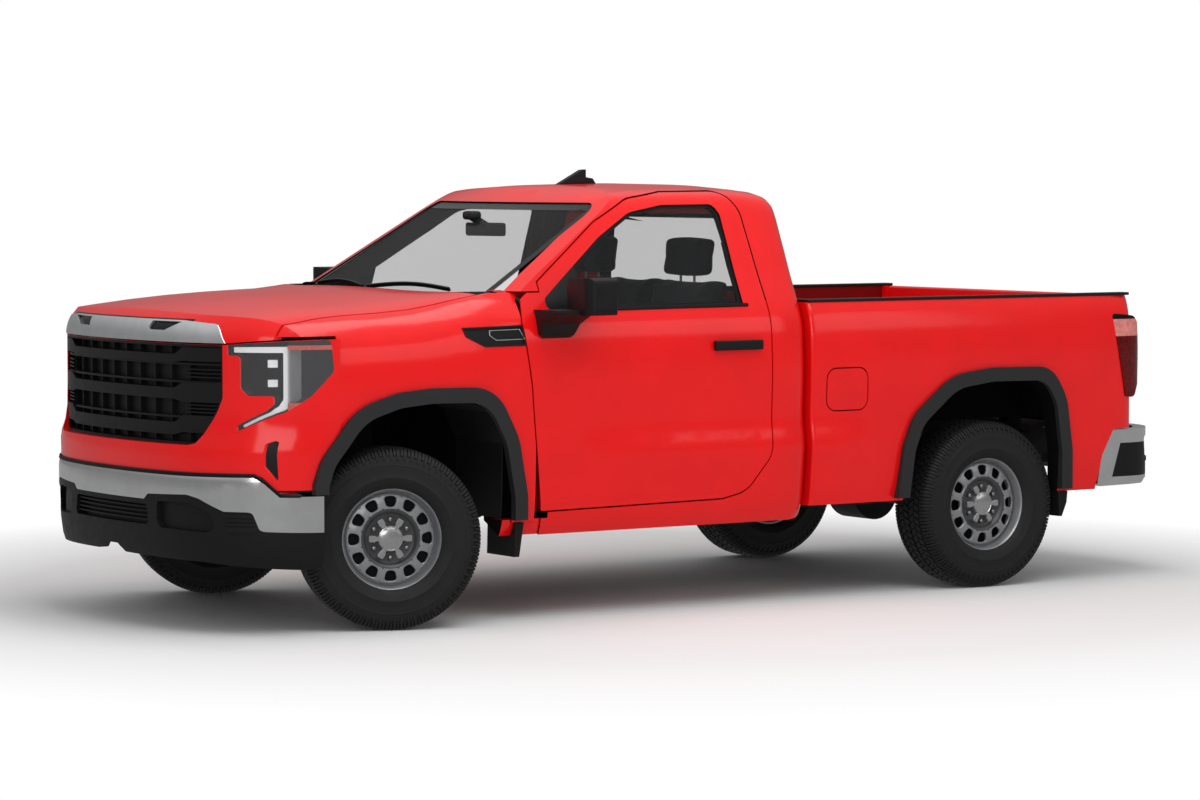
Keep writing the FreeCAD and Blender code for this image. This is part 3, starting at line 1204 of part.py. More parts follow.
box_station_shares = [(0.6710, 0.014), (0.6720, 0.008), (0.6745, 0.002), (0.6780, 0.0), (0.7200, 0.0), (0.7450, 0.0),
                      (0.7900, 0.0), (1.0000, 0.0), (1.2000, 0.0), (1.2400, 0.002), (1.2600, 0.008), (1.2720, 0.018),
                      (1.2785, 0.034)]
box_side = Part.makeLoft([box_wire(along(s), across(k)) for s, k in box_station_shares], True, True)
tail_lamp_shares = [(1.2365, 0.6708, 0.008), (1.2820, 0.6640, 0.030), (1.2960, 0.6440, 0.030), (1.2972, 0.5582, 0.060),
                    (1.2950, 0.4950, 0.040), (1.2820, 0.4560, 0.020), (1.2630, 0.4600, 0.010), (1.2410, 0.6218, 0.040)]
tail_lamp_station_shares = [(1.2250, -0.001), (1.2500, 0.0), (1.2700, 0.004), (1.2840, 0.014), (1.2930, 0.030),
                            (1.2980, 0.052)]
tail_lamp_body = Part.makeLoft([box_wire(along(s), across(k)) for s, k in tail_lamp_station_shares], True, True)
lamp_corners = side_corners(tail_lamp_shares)
tail_lamp = largest(tail_lamp_body.common(prism(lamp_corners, "yz", 0, wide, -seam)))
lamp_notch = prism(lamp_corners, "yz", 0, wide)
keep("tail_lamps", both_sides(tail_lamp))

# Fuel door with its hinge pin in a barrel on the pocket's floor
fuel_y = along(0.7336)
fuel_z = up(0.5055)
fuel_length = 232.0
fuel_height = 191.0
fuel_round = 50.0
fuel_gap = 6.0
fuel_pocket_depth = 62.0
fuel_wall = 5.0
fuel_hinge_in = 11.0
fuel_hinge_back = 46.0
fuel_hinge_height = 36.0
fuel_arm_height = 8.0
fuel_arm_half = 4.0
fuel_pin_radius = 3.0
fuel_barrel_radius = 5.0
filler_radius = 30.0
fuel_corners = [(fuel_y + a * fuel_length / 2, fuel_z + b * fuel_height / 2, fuel_round)
                for a, b in ((-1, -1), (1, -1), (1, 1), (-1, 1))]
fuel_x = side_point(fuel_y, fuel_z)
fuel_hinge_x = fuel_x - fuel_hinge_in
fuel_hinge_y = fuel_y - fuel_length / 2 + fuel_hinge_back
fuel_pocket = prism(fuel_corners, "yz", fuel_x - fuel_pocket_depth, wide, fuel_gap)
door_plug = prism(fuel_corners, "yz", fuel_x - fuel_wall * 3, wide)
plug_inner = Part.makeLoft([box_wire(along(s), fuel_wall) for s, k in box_station_shares[3:8]], True, True)
fuel_door = box_side.common(door_plug).cut(plug_inner)
fuel_hinge_high, fuel_hinge_low = fuel_z + fuel_hinge_height / 2, fuel_z - fuel_hinge_height / 2
fuel_arms = []
for low, high in ((fuel_hinge_low - hinge_play - fuel_arm_height, fuel_hinge_low - hinge_play),
                  (fuel_hinge_high + hinge_play, fuel_hinge_high + hinge_play + fuel_arm_height)):
    fuel_arms.append(block(fuel_hinge_x - fuel_arm_half, fuel_hinge_x + fuel_arm_half, fuel_hinge_y - fuel_arm_half,
                           fuel_hinge_y + fuel_arm_half * 6, low, high))
    fuel_arms.append(block(fuel_hinge_x - fuel_arm_half, fuel_x - fuel_wall + hinge_play, fuel_hinge_y + fuel_arm_half * 3,
                           fuel_hinge_y + fuel_arm_half * 6, low, high))
fuel_pin_low = fuel_hinge_low - hinge_play - fuel_arm_height
fuel_pin_high = fuel_hinge_high + hinge_play + fuel_arm_height
fuel_pin = rod(fuel_pin_radius, Vector(fuel_hinge_x, fuel_hinge_y, fuel_pin_low), Vector(fuel_hinge_x, fuel_hinge_y, fuel_pin_high))
fuel_door = largest(fuel_door.fuse(fuel_arms + [fuel_pin]))
fuel_barrel = rod(fuel_barrel_radius, Vector(fuel_hinge_x, fuel_hinge_y, fuel_hinge_low), Vector(fuel_hinge_x, fuel_hinge_y, fuel_hinge_high))
fuel_post = block(fuel_x - fuel_pocket_depth - arm_sink, fuel_hinge_x, fuel_hinge_y - fuel_wall, fuel_hinge_y + fuel_wall,
                  fuel_hinge_low, fuel_hinge_high)
fuel_barrel = fuel_barrel.fuse(fuel_post).cut(rod(fuel_pin_radius + bead_clearance, Vector(fuel_hinge_x, fuel_hinge_y, fuel_pin_low),
                                                  Vector(fuel_hinge_x, fuel_hinge_y, fuel_pin_high)))
filler_y = fuel_y + filler_radius
filler = rod(filler_radius, Vector(fuel_x - fuel_pocket_depth - arm_sink, filler_y, fuel_z),
             Vector(fuel_x - fuel_pocket_depth + filler_radius * 0.8, filler_y, fuel_z))
rear_plan_shares = [(0.0, 1.36480), (0.620, 1.36320), (0.800, 1.35080), (0.900, 1.32900), (0.965, 1.30400),
                    (0.985, 1.27920), (0.990, 1.20000)]
rear_bumper_thickness = 62.0
rear_bumper_side_shares = [(1.2400, 0.3765, 0.0), (1.4000, 0.3765, 0.0), (1.4000, 0.2480, 0.0), (1.3150, 0.2480, 0.0),
                           (1.3020, 0.2370, 0.01), (1.2090, 0.2345, 0.01), (1.2185, 0.3120, 0.01)]
step_shares = [(0.770, 0.2900, 0.01), (0.930, 0.2900, 0.01), (0.952, 0.3560, 0.01), (0.770, 0.3560, 0.01)]
plate_bed_shares = [(-0.200, 0.2550, 0.0), (0.200, 0.2550, 0.0), (0.190, 0.3300, 0.01), (-0.190, 0.3300, 0.01)]
step_lip = 34.0
step_height = 20.0
ball_hole_radius = 16.0
ball_hole_back = 105.4
hitch_half = 150.0
hitch_depth = 148.8
rear_bumper_seam = 5.0
top_pad_depth = 228.0

box_tail = block(0, wide, along(rear_bumper_side_shares[5][0]) - rear_bumper_seam, far, 0, up(rear_bumper_side_shares[3][1]))
bumper_zone = through(side_corners(rear_bumper_side_shares), rear_bumper_seam)
box_left = box_side.cut([through(rear_arch), lamp_notch, bumper_zone, box_tail])
box_right = mirrored(largest(box_left))
box_left = largest(box_left.cut(fuel_pocket).fuse([fuel_barrel, filler]))
keep("box_sides", [box_left, box_right])
keep("fuel_door", fuel_door)

# Load floor with wheelhouses, front wall and the posts that carry the tailgate
tail_pin_in = 64.0
tail_pin_x = inner - tail_pin_in
tail_axis_y = along(1.2700)
tail_axis_rise = 8.0
tail_axis_z = box_floor_height + tailgate_pin_radius + tail_axis_rise
post_play = 3.0
post_depth = 70.0
gate_foot_drop = 16.0
gate_groove_play = 5.0
sill_depth = 50.0
sill_drop = 45.0
well_radius_share = 1.26
well_low_share, well_high_share = 0.4880, 0.5450
well_round = 60.0
floor_low = box_floor_height - box_floor_thickness


def well_corners(foot):
    """A wheelhouse seen from the side, down to a foot."""
    r = tyre_radius * well_radius_share
    return [(rear_axle_y - r, foot, 0), (rear_axle_y - r * 0.9, up(well_low_share), well_round),
            (rear_axle_y - r * 0.6, up(well_high_share), well_round), (rear_axle_y + r * 0.6, up(well_high_share), well_round),
            (rear_axle_y + r * 0.9, up(well_low_share), well_round), (rear_axle_y + r, foot, 0)]


floor = block(-inner, inner, box_front, box_back, floor_low, box_floor_height)
front_wall = block(-inner, inner, box_front, box_front + box_front_thickness, box_floor_height, box_top_height)
wells, holes = [], []
for side in (1, -1):
    wells.append(prism(well_corners(floor_low), "yz", side * (inner - wheelhouse_width), side * inner))
    holes.append(prism(well_corners(floor_low - overrun), "yz", side * (inner - wheelhouse_width + wheelhouse_wall),
                       side * (inner + overrun), -wheelhouse_wall))
posts = []
for side in (1, -1):
    post = block(side * (tail_pin_x + tailgate_pin_length + post_play), side * inner, box_back - post_depth, box_back,
                 box_floor_height, box_top_height)
    socket = rod(tailgate_pin_radius + bead_clearance, Vector(side * tail_pin_x, tail_axis_y, tail_axis_z),
                 Vector(side * (inner + overrun), tail_axis_y, tail_axis_z))
    posts.append(post.cut(socket))
gate_groove = rod(math.hypot(tailgate_thickness / 2, gate_foot_drop) + gate_groove_play,
                  Vector(-tail_pin_x - tailgate_pin_length, tail_axis_y, tail_axis_z),
                  Vector(tail_pin_x + tailgate_pin_length, tail_axis_y, tail_axis_z))
gate_step = block(-tail_pin_x - tailgate_pin_length, tail_pin_x + tailgate_pin_length, tail_axis_y, far,
                  tail_axis_z - tailgate_thickness / 2 - gate_groove_play, tail_axis_z)
load_floor = floor.fuse([front_wall] + wells).cut(holes).cut([gate_groove, gate_step])
sill = block(-inner, inner, box_back - sill_depth, box_back, floor_low - sill_drop, floor_low)
keep("box_floor", largest(load_floor.fuse(posts + [sill])))
cap_inner_drop = 8.0
cap_back_gap = 4.0
caps = []
for side in (1, -1):
    caps.append(block(side * (inner - cap_inner_drop), side * across(0.962), box_front, box_back - cap_back_gap,
                      box_top_height, box_top_height + box_cap_height))
wall_cap = block(-inner + cap_inner_drop + seam, inner - cap_inner_drop - seam, box_front, box_front + box_front_thickness,
                 box_top_height, box_top_height + box_cap_height)
keep("box_caps", caps + [wall_cap])

# Tailgate
gate_gap = 6.0
gate_round = 14.0
gate_top_round = 10.0
gate_panel_depth = 9.0
gate_half = tail_pin_x + tailgate_pin_length - gate_gap
gate_in = tail_axis_y - tailgate_thickness / 2
gate_out = tail_axis_y + tailgate_thickness / 2
gate_corners = [(gate_in, tail_axis_z - gate_foot_drop, gate_round), (gate_out, tail_axis_z - gate_foot_drop, gate_round),
                (gate_out, box_top_height, gate_top_round), (gate_in, box_top_height, gate_top_round)]
gate = prism(gate_corners, "yz", -gate_half, gate_half)
gate_panel_shares = [(-0.780, 0.4750, 0.02), (0.780, 0.4750, 0.02), (0.780, 0.6350, 0.03), (-0.780, 0.6350, 0.03)]
gate = gate.cut(front_through(front_corners(gate_panel_shares), gate_out - gate_panel_depth, gate_out + overrun))
gate_handle_width, gate_handle_height = 210.0, 62.0
gate_handle_z = up(0.6700)
gate_handle = block(-gate_handle_width / 2, gate_handle_width / 2, gate_out - gate_panel_depth * 2, gate_out + overrun,
                    gate_handle_z - gate_handle_height / 2, gate_handle_z + gate_handle_height / 2)
gate = gate.cut(gate_handle)
gate_pins = [rod(tailgate_pin_radius, Vector(side * (gate_half - arm_sink), tail_axis_y, tail_axis_z),
                 Vector(side * (inner - arm_sink), tail_axis_y, tail_axis_z)) for side in (1, -1)]
keep("tailgate", fused([gate] + gate_pins))

# Rear bumper: a bright bar that wraps the corners, with a step cut in each

def rear_volume(inset, z0=0.0, z1=body_height):
    """All that lies ahead of the rear bumper's plan line, back to the load box."""
    right = []
    points = [(across(x), along(y)) for x, y in rear_plan_shares]
    for i, (x, y) in enumerate(points):
        x0, y0 = points[max(i - 1, 0)]
        x1, y1 = points[min(i + 1, len(points) - 1)]
        if i == 0:
            x0, y0 = -x1, y1
        n = Vector(-(y1 - y0), x1 - x0, 0)
        n.normalize()
        right.append((x - n.x * inset, y - n.y * inset))
    line = [Vector(-x, y, z0) for x, y in right[:0:-1]] + [Vector(x, y, z0) for x, y in right]
    curve = Part.BSplineCurve()
    curve.interpolate(line)
    return Part.Face(Part.Wire([curve.toShape(), Part.makeLine(line[-1], line[0])])).extrude(Vector(0, 0, z1 - z0))


rear_side = through(side_corners(rear_bumper_side_shares))
rear_bar = rear_volume(0.0).cut(rear_volume(rear_bumper_thickness, -overrun, body_height + overrun)).common(rear_side)
notches = []
for side in (1, -1):
    notch = front_through([(side * a, b, r) for a, b, r in front_corners(step_shares)], along(1.2400), far)
    notches.append(notch)
plate_bed = front_through(front_corners(plate_bed_shares), along(1.3400), far).cut(rear_volume(gate_panel_depth))
rear_bar = largest(rear_bar.cut(notches + [plate_bed]))
pad_in = 4.0
pads = []
for side in (1, -1):
    pad = rear_volume(pad_in).cut(rear_volume(rear_bumper_thickness - pad_in)).common(
        front_through([(side * a, b, r) for a, b, r in front_corners(step_shares)], along(1.2400), far, -seam))
    lip = rear_volume(-pad_in).cut(rear_volume(rear_bumper_thickness - pad_in)).common(
        block(side * across(0.775), side * across(0.930), along(1.2400), far, up(0.2900) + seam, up(0.2900) + seam + step_height))
    hollow = rear_volume(-overrun).cut(rear_volume(step_lip)).common(
        front_through([(side * a, b, r) for a, b, r in front_corners(step_shares)], along(1.2400), far, -gate_panel_depth))
    pads.append(largest(pad.cut(hollow).fuse(lip.common(
        front_through([(side * a, b, r) for a, b, r in front_corners(step_shares)], along(1.2400), far, -seam)))))
top_pad_height = 9.0
top_pad = rear_volume(pad_in, up(0.3765) + seam, up(0.3765) + seam + top_pad_height)
top_pad = top_pad.cut(rear_volume(top_pad_depth, 0, body_height))
top_pad = largest(top_pad.common(block(-across(0.780), across(0.780), box_back + sill_drop, far, 0, body_height)))
hitch = block(-hitch_half, hitch_half, tail_y - hitch_depth, tail_y - rear_bumper_thickness + arm_sink, up(0.2620), up(0.3000))
hitch = hitch.cut(Part.makeCylinder(ball_hole_radius, body_height, Vector(0, tail_y - ball_hole_back, 0)))
rear_bar = largest(rear_bar.fuse(hitch))
keep("rear_bumper", rear_bar)
keep("bumper_steps", pads + [top_pad])

# Arch mouldings and mud flaps
trim_round = 6.0
trim_foot = up(0.2350)
front_trim_start = up(0.3160)
trims = []
for name, corners in (("front", front_arch), ("rear", rear_arch)):
    arch_trim = prism(corners, "yz", half_width - arch_trim_in, half_width + arch_trim_out, arch_trim_width - trim_round)
    arch_trim = arch_trim.cut(prism(corners, "yz", 0, wide, -trim_round))
    arch_trim = arch_trim.cut(block(0, far, -far, far, 0, trim_foot))
    if name == "front":
        arch_trim = arch_trim.cut([prism(door_corners, "yz", 0, wide, panel_gap)])
        arch_trim = arch_trim.cut(parts["fenders"][:1] + parts["front_fascia"] + parts["front_bumper"]
                                  + [block(0, far, -far, front_axle_y, 0, front_trim_start)])
    else:
        arch_trim = arch_trim.cut([box_side])
    trims += both_sides(largest(arch_trim))
keep("arch_trims", trims)
front_flap_shares = [(0.1683, 0.0), (0.1826, 0.0), (0.1750, 1.0), (0.1671, 1.0)]
rear_flap_shares = [(1.1336, 0.0), (1.1518, 0.0), (1.1500, 0.45), (1.1410, 1.0), (1.1360, 1.0)]
flap_inner_share = 0.760
flap_outer_share = 0.985
flap_top = up(box_foot_share) - seam
flap_drop = 150.0
flaps = []
for shares in (front_flap_shares, rear_flap_shares):
    drop = flap_drop if shares is front_flap_shares else flap_drop * 0.8
    flap = prism([(along(y), flap_top - k * drop, 0) for y, k in shares], "yz", across(flap_inner_share), across(flap_outer_share))
    flaps += both_sides(largest(flap.cut(parts["fenders"][:1] + parts["cab_shell"])))

# Front wheel liners, in one node with the flaps
liner_wall = 6.0
liner_inner_share = 0.610
liner_shares = [(0.1463, 0.2400), (0.1463, 0.4100), (0.1250, 0.4850), (0.0650, 0.5250), (-0.0600, 0.5270), (-0.1080, 0.5100)]
liner_line = [(along(y), up(z)) for y, z in liner_shares]
liner_outer = [(y + liner_wall * 0.8, z + liner_wall * 0.6) for y, z in liner_line]
liner = prism([(y, z, 0) for y, z in liner_line + liner_outer[::-1]], "yz", across(liner_inner_share), wide)
liner = liner.common(front_hull(skin_thickness + seam)).cut(parts["fenders"][:1] + parts["cab_shell"] + trims[:1] + parts["front_fascia"])
keep("wheel_liners", both_sides(largest(liner)) + flaps)

# Frame: two bent rails with crossmembers and the posts that carry cab, box and bumpers
rail_x = rail_spacing / 2
rail_bend = 40.0
rail_sink = 5.0
rail_shares = [(-0.245, 0.262), (-0.110, 0.270), (0.130, 0.225), (0.690, 0.225), (0.840, 0.330), (1.130, 0.330), (1.250, 0.300)]
crossmember_shares = [(-0.2400, 0.262), (0.180, 0.262), (0.480, 0.262), (0.840, 0.340), (1.200, 0.320)]
crossmember_height_share = 0.42
cab_post_shares = (0.190, 0.560)
box_post_shares = (0.760, 1.180)
post_length = 90.0
post_out = 60.0
bumper_arm_width = 60.0
line = [(along(s), up(h), rail_bend) for s, h in rail_shares]
last = len(line) - 1
rail_corners = [(y, z, 0 if i in (0, last) else r) for i, (y, z, r) in enumerate(line)]
rail_corners += [(y, z + rail_height, 0 if i in (0, last) else r) for i, (y, z, r) in reversed(list(enumerate(line)))]
frame_bits = []
for s, h in crossmember_shares:
    frame_bits.append(block(-rail_x + rail_sink, rail_x - rail_sink, along(s), along(s) + crossmember_length, up(h),
                            up(h) + rail_height * crossmember_height_share))
rear_arm_back = along(rear_plan_shares[1][1]) - rear_bumper_thickness - seam * 4
for side in (1, -1):
    frame_bits.append(prism(rail_corners, "yz", side * rail_x, side * (rail_x - rail_width)))
    for s in cab_post_shares:
        frame_bits.append(block(side * (rail_x - rail_width / 2), side * (rail_x + post_out), along(s), along(s) + post_length,
                                up(0.235), cab_floor_height - cab_floor_thickness))
    for s in box_post_shares:
        frame_bits.append(block(side * (rail_x - post_out), side * rail_x, along(s), along(s) + post_length, up(0.340), floor_low))
    frame_bits.append(block(side * (rail_x - bumper_arm_width), side * rail_x, along(-0.2630), along(-0.2400), up(0.262), up(0.330)))
    frame_bits.append(block(side * (rail_x - bumper_arm_width), side * rail_x, along(1.2450), rear_arm_back, up(0.300), up(0.3650)))
frame_rails = fused(frame_bits).cut([bumper, valance, rear_bar])
keep("frame_rails", largest(frame_rails))

# Engine with its gearbox in one block
engine_half, sump_half = 210.0, 190.0
gearbox_radius = 100.0
drive_z = up(0.245)
gearbox_end = along(0.300)
engine_mount_sink = 10.0
engine = block(-engine_half, engine_half, along(-0.110), along(0.085), up(0.345), up(0.640))
gearbox = rod(gearbox_radius, Vector(0, along(0.080), drive_z), Vector(0, gearbox_end, drive_z))
sump = block(-sump_half, sump_half, along(-0.060), along(0.085), up(0.260), up(0.350))
mounts = [block(side * (engine_half - engine_mount_sink), side * (rail_x - engine_mount_sink), along(-0.020), along(0.020),
                up(0.300), up(0.360)) for side in (1, -1)]
keep("engine_block", largest(fused([engine, gearbox, sump] + mounts).cut(parts["frame_rails"])))

# Rear axle, in one node with its driveshaft
shaft_radius = 38.0
axle_nose_radius = 60.0
axle_end_x = wheel_x + wheel_back_x - bead_clearance
stub_end_x = spindle_end_x - bead_clearance
axle = rod(axle_tube_radius, Vector(-axle_end_x, rear_axle_y, hub_height), Vector(axle_end_x, rear_axle_y, hub_height))
stub = rod(spindle_radius, Vector(-stub_end_x, rear_axle_y, hub_height), Vector(stub_end_x, rear_axle_y, hub_height))
diff_half = differential_radius * 0.8
diff = rod(differential_radius, Vector(-diff_half, rear_axle_y, hub_height), Vector(diff_half, rear_axle_y, hub_height))
nose_tube = rod(axle_nose_radius, Vector(0, rear_axle_y, hub_height), Vector(0, rear_axle_y - differential_radius * 1.4, hub_height))
keep("rear_axle", fused([axle, stub, diff, nose_tube]))
shaft = rod(shaft_radius, Vector(0, gearbox_end + seam, drive_z), Vector(0, rear_axle_y - differential_radius * 0.9, hub_height))
keep("rear_axle", shaft.cut(parts["rear_axle"] + parts["engine_block"]))

# Leaf springs with their hangers and clamps
spring_out = 40.0
spring_half = 32.0
spring_leaf = 26.0
spring_seat = 30.0
spring_round = 200.0
hanger_length = 64.0
clamp_half = 70.0
spring_x = rail_x + spring_out
spring_low, spring_high = hub_height + axle_tube_radius, up(0.340)
springs = []
for side in (1, -1):
    top, foot = spring_low + spring_seat, spring_low + seam * 3
    leaf = [(along(0.800), spring_high, 0), (along(0.920), top, spring_round), (along(1.080), top, spring_round),
            (along(1.210), spring_high, 0), (along(1.210), spring_high - spring_leaf, 0), (along(1.080), foot, spring_round),
            (along(0.920), foot, spring_round), (along(0.800), spring_high - spring_leaf, 0)]
    bits = [prism(leaf, "yz", side * (spring_x - spring_half), side * (spring_x + spring_half))]
    for s in (0.795, 1.190):
        bits.append(block(side * (rail_x - arm_sink), side * (spring_x + spring_half + arm_sink), along(s), along(s) + hanger_length,
                          spring_high - spring_leaf, spring_high + spring_leaf * 1.4))
    bits.append(block(side * (spring_x - spring_half), side * (spring_x + spring_half), rear_axle_y - clamp_half,
                      rear_axle_y + clamp_half, spring_low - spring_leaf * 0.8, top + arm_sink))
    springs.append(largest(fused(bits).cut(parts["frame_rails"] + parts["rear_axle"])))
keep("leaf_springs", springs)

# Tank, exhaust and spare wheel
tank_out, tank_in = 330.0, 60.0
tank_round = 30.0
strap_length = 50.0
strap_sink = 20.0
tank = block(-tank_out, -tank_in, along(0.400), along(0.720), up(0.205), up(0.300))
tank = tank.makeFillet(tank_round, tank.Edges)
straps = [block(-rail_x + rail_width - strap_sink, -tank_out + tank_round, along(s), along(s) + strap_length, up(0.250), up(0.280))
          for s in (0.450, 0.620)]
keep("fuel_tank", largest(fused([tank] + straps).cut(parts["frame_rails"])))
pipe_x, pipe_out_x, pipe_end_x = 235.0, 250.0, 300.0
pipe_radius = 28.0
muffler_radius = 82.0
muffler = rod(muffler_radius, Vector(pipe_x, along(0.480), drive_z), Vector(pipe_x, along(0.640), drive_z))
bends = [Vector(pipe_x, along(0.657), drive_z), Vector(pipe_out_x, along(0.860), up(0.300))]
pipes = [rod(pipe_radius, Vector(pipe_x, along(0.060), drive_z), Vector(pipe_x, along(0.660), drive_z)),
         rod(pipe_radius, bends[0], bends[1]), rod(pipe_radius, bends[1], Vector(pipe_end_x, along(1.030), up(0.300)))]
for bend in bends:
    pipes.append(Part.makeSphere(pipe_radius + hinge_play / 2, bend))
keep("exhaust", largest(fused([muffler] + pipes).cut(parts["frame_rails"] + parts["engine_block"] + parts["rear_axle"])))
spare_radius = 362.0
spare_width = 212.0
spare_rim_radius = 215.0
spare_dish = 70.0
spare_y = along(1.1615)
spare_foot = up(0.1830)
hanger_radius = 14.0
spare = Part.makeCylinder(spare_radius, spare_width, Vector(0, spare_y, spare_foot))
spare = spare.makeFillet(tyre_shoulder, spare.Edges)
spare = spare.cut(Part.makeCylinder(spare_rim_radius, spare_dish, Vector(0, spare_y, spare_foot)))
spare = spare.cut(Part.makeCylinder(spare_rim_radius, spare_dish, Vector(0, spare_y, spare_foot + spare_width - spare_dish)))
hanger_y = along(crossmember_shares[4][0]) + hanger_radius * 2
hanger = rod(hanger_radius, Vector(0, hanger_y, spare_foot + spare_width - spare_dish - arm_sink),
             Vector(0, hanger_y, up(crossmember_shares[4][1]) - seam))
keep("spare_wheel", largest(spare.fuse(hanger)))

# Front suspension: a crossmember, two arms a side and their joints
arm_half = 24.0
arm_drop = 13.0
joint_radius = 30.0
arm_low_z = kingpin_foot - knuckle_width * 0.30
arm_high_z = kingpin_top + knuckle_width * 0.30
beam_half = 90.0
arms = [block(-rail_x, rail_x, front_axle_y - beam_half, front_axle_y + beam_half, up(0.235), up(0.268))]
for side in (1, -1):
    for z in (arm_low_z, arm_high_z):
        arms.append(block(side * (rail_x - arm_sink), side * kingpin_x, front_axle_y - arm_half, front_axle_y + arm_half,
                          z - arm_drop, z + arm_drop))
        arms.append(Part.makeCylinder(joint_radius, arm_drop * 2, Vector(side * kingpin_x, front_axle_y, z - arm_drop)))
    arms.append(block(side * (rail_x - rail_width / 2), side * rail_x, front_axle_y - arm_half, front_axle_y + arm_half,
                      arm_low_z - arm_drop, up(0.300)))
bores = [Part.makeCylinder(kingpin_radius + bead_clearance, body_height, Vector(side * kingpin_x, front_axle_y, 0)) for side in (1, -1)]
keep("front_suspension", fused(arms).cut(bores + parts["frame_rails"] + parts["engine_block"]))

# Dashboard with the steering column, and the steering wheel on its pin
column_radius = 32.0
column_length = 150.0
column_pin_radius = 11.0
column_pin_length = 100.0
column_bore_start = 60.0
column_to_wheel = 176.0
wheel_ring_radius = 185.0
wheel_ring_section = 15.0
wheel_ring_out = 6.0
wheel_boss_radius = 52.0
spoke_half = 28.0
spoke_depth = 60.0
spoke_thickness = 12.0
column_rake = 0.42
dash_front = cab_front + cab_floor_thickness + seam
dash_shares = [(0.262, 0.560, 0.03), (0.270, 0.630, 0.02), (0.262, 0.668, 0.02), (0.225, 0.700, 0.02)]
dash = prism([(dash_front, up(0.560), 0)] + side_corners(dash_shares) + [(dash_front, up(0.704), 0)],
             "yz", -across(0.820), across(0.820))
console = block(-across(0.130), across(0.130), dash_front, along(0.262), up(0.440), up(0.570))
column_at = Vector(across(0.430), along(0.2400), up(0.605))
column_axis = Vector(0, 1.0, column_rake)
column_axis.normalize()
column = rod(column_radius, column_at, column_at + column_axis * column_length)
column_bore = rod(column_pin_radius + bead_clearance, column_at + column_axis * column_bore_start,
                  column_at + column_axis * (column_length + overrun))
keep("dashboard", largest(fused([dash, console, column]).cut([column_bore, ahead] + parts["cab_shell"] + parts["cowl_panel"])))
wheel_at = column_at + column_axis * column_to_wheel
ring_tube = Part.makeTorus(wheel_ring_radius, wheel_ring_section, wheel_at + column_axis * wheel_ring_out, column_axis)
half = column_axis * (spoke_thickness / 2)
disc = rod(wheel_ring_radius - spoke_thickness, wheel_at - half, wheel_at + half)
cross = block(wheel_at.x - wheel_ring_radius, wheel_at.x + wheel_ring_radius, wheel_at.y - spoke_depth,
              wheel_at.y + spoke_depth, wheel_at.z - spoke_half, wheel_at.z + spoke_half)
boss = rod(wheel_boss_radius, wheel_at - half * 2, wheel_at + half * 2)
hub_pin = rod(column_pin_radius, wheel_at - column_axis * column_pin_length, wheel_at)
keep("steering_wheel", fused([ring_tube, disc.common(cross), boss, hub_pin]))

# Bench seat with two head restraints
seat_half = across(0.700)
seat_round = 40.0
back_round_share = 0.016
cushion = block(-seat_half, seat_half, along(0.3600), along(0.5200), up(0.400), up(0.480))
cushion = cushion.makeFillet(seat_round, cushion.Edges)
seat_base = block(-across(0.600), across(0.600), along(0.3790), along(0.5000), cab_floor_height + seam, up(0.405))
back_shares = [(0.505, 0.440, back_round_share), (0.555, 0.440, back_round_share), (0.600, 0.760, back_round_share),
               (0.562, 0.760, back_round_share)]
rest_shares = [(0.566, 0.750, 0.010), (0.600, 0.750, 0.010), (0.606, 0.860, 0.010), (0.572, 0.860, 0.010)]
rest_half = 120.0
back = prism(side_corners(back_shares), "yz", -seat_half, seat_half)
rests = [prism(side_corners(rest_shares), "yz", x - rest_half, x + rest_half) for x in (-across(0.400), across(0.400))]
keep("bench_seat", fused([cushion, seat_base, back] + rests))

# Aerial fin on the roof
fin_half = 16.0
fin_shares = [(0.4350, 0.9950, 0.0), (0.5050, 0.9950, 0.0), (0.4980, 1.0120, 0.002), (0.4860, 1.0150, 0.002), (0.4860, 1.0340, 0.001),
              (0.4790, 1.0330, 0.001), (0.4560, 1.0130, 0.010)]
fin = prism(side_corners(fin_shares), "yz", -fin_half, fin_half)
keep("roof_fin", largest(fin.cut(parts["cab_shell"])))

os.makedirs("parts", exist_ok=True)
for name, solids in parts.items():
    shape = Part.makeCompound(solids) if len(solids) > 1 else solids[0]
    shape.exportStep("parts/" + name + ".step")
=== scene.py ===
import json
import math

import bmesh
import bpy
from mathutils import Matrix, Vector
from mathutils.bvhtree import BVHTree


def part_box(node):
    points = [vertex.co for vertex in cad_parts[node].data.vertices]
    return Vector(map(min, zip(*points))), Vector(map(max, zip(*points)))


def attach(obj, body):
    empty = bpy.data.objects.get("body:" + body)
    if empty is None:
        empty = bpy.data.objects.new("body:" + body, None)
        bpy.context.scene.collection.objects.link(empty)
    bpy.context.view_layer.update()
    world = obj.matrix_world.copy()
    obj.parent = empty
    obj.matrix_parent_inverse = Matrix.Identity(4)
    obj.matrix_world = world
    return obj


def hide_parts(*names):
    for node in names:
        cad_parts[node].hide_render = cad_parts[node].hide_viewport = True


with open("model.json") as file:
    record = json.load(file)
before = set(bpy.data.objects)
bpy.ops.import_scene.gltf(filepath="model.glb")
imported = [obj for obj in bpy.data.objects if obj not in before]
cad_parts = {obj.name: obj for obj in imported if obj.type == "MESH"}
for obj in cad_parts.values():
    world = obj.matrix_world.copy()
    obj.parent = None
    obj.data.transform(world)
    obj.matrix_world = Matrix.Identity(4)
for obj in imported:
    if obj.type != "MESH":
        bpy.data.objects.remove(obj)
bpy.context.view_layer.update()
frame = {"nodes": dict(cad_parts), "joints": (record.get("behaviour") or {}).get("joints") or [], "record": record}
scene = bpy.context.scene
nodes = frame["nodes"]
record = frame["record"]
bodyOf = {node: body for body, names in record["behaviour"]["bodies"].items() for node in names}
slotOf = {part["node"]: part["material_slot"] for part in record["subparts"]}
jointOf = {joint["child"]: joint for joint in frame["joints"]}
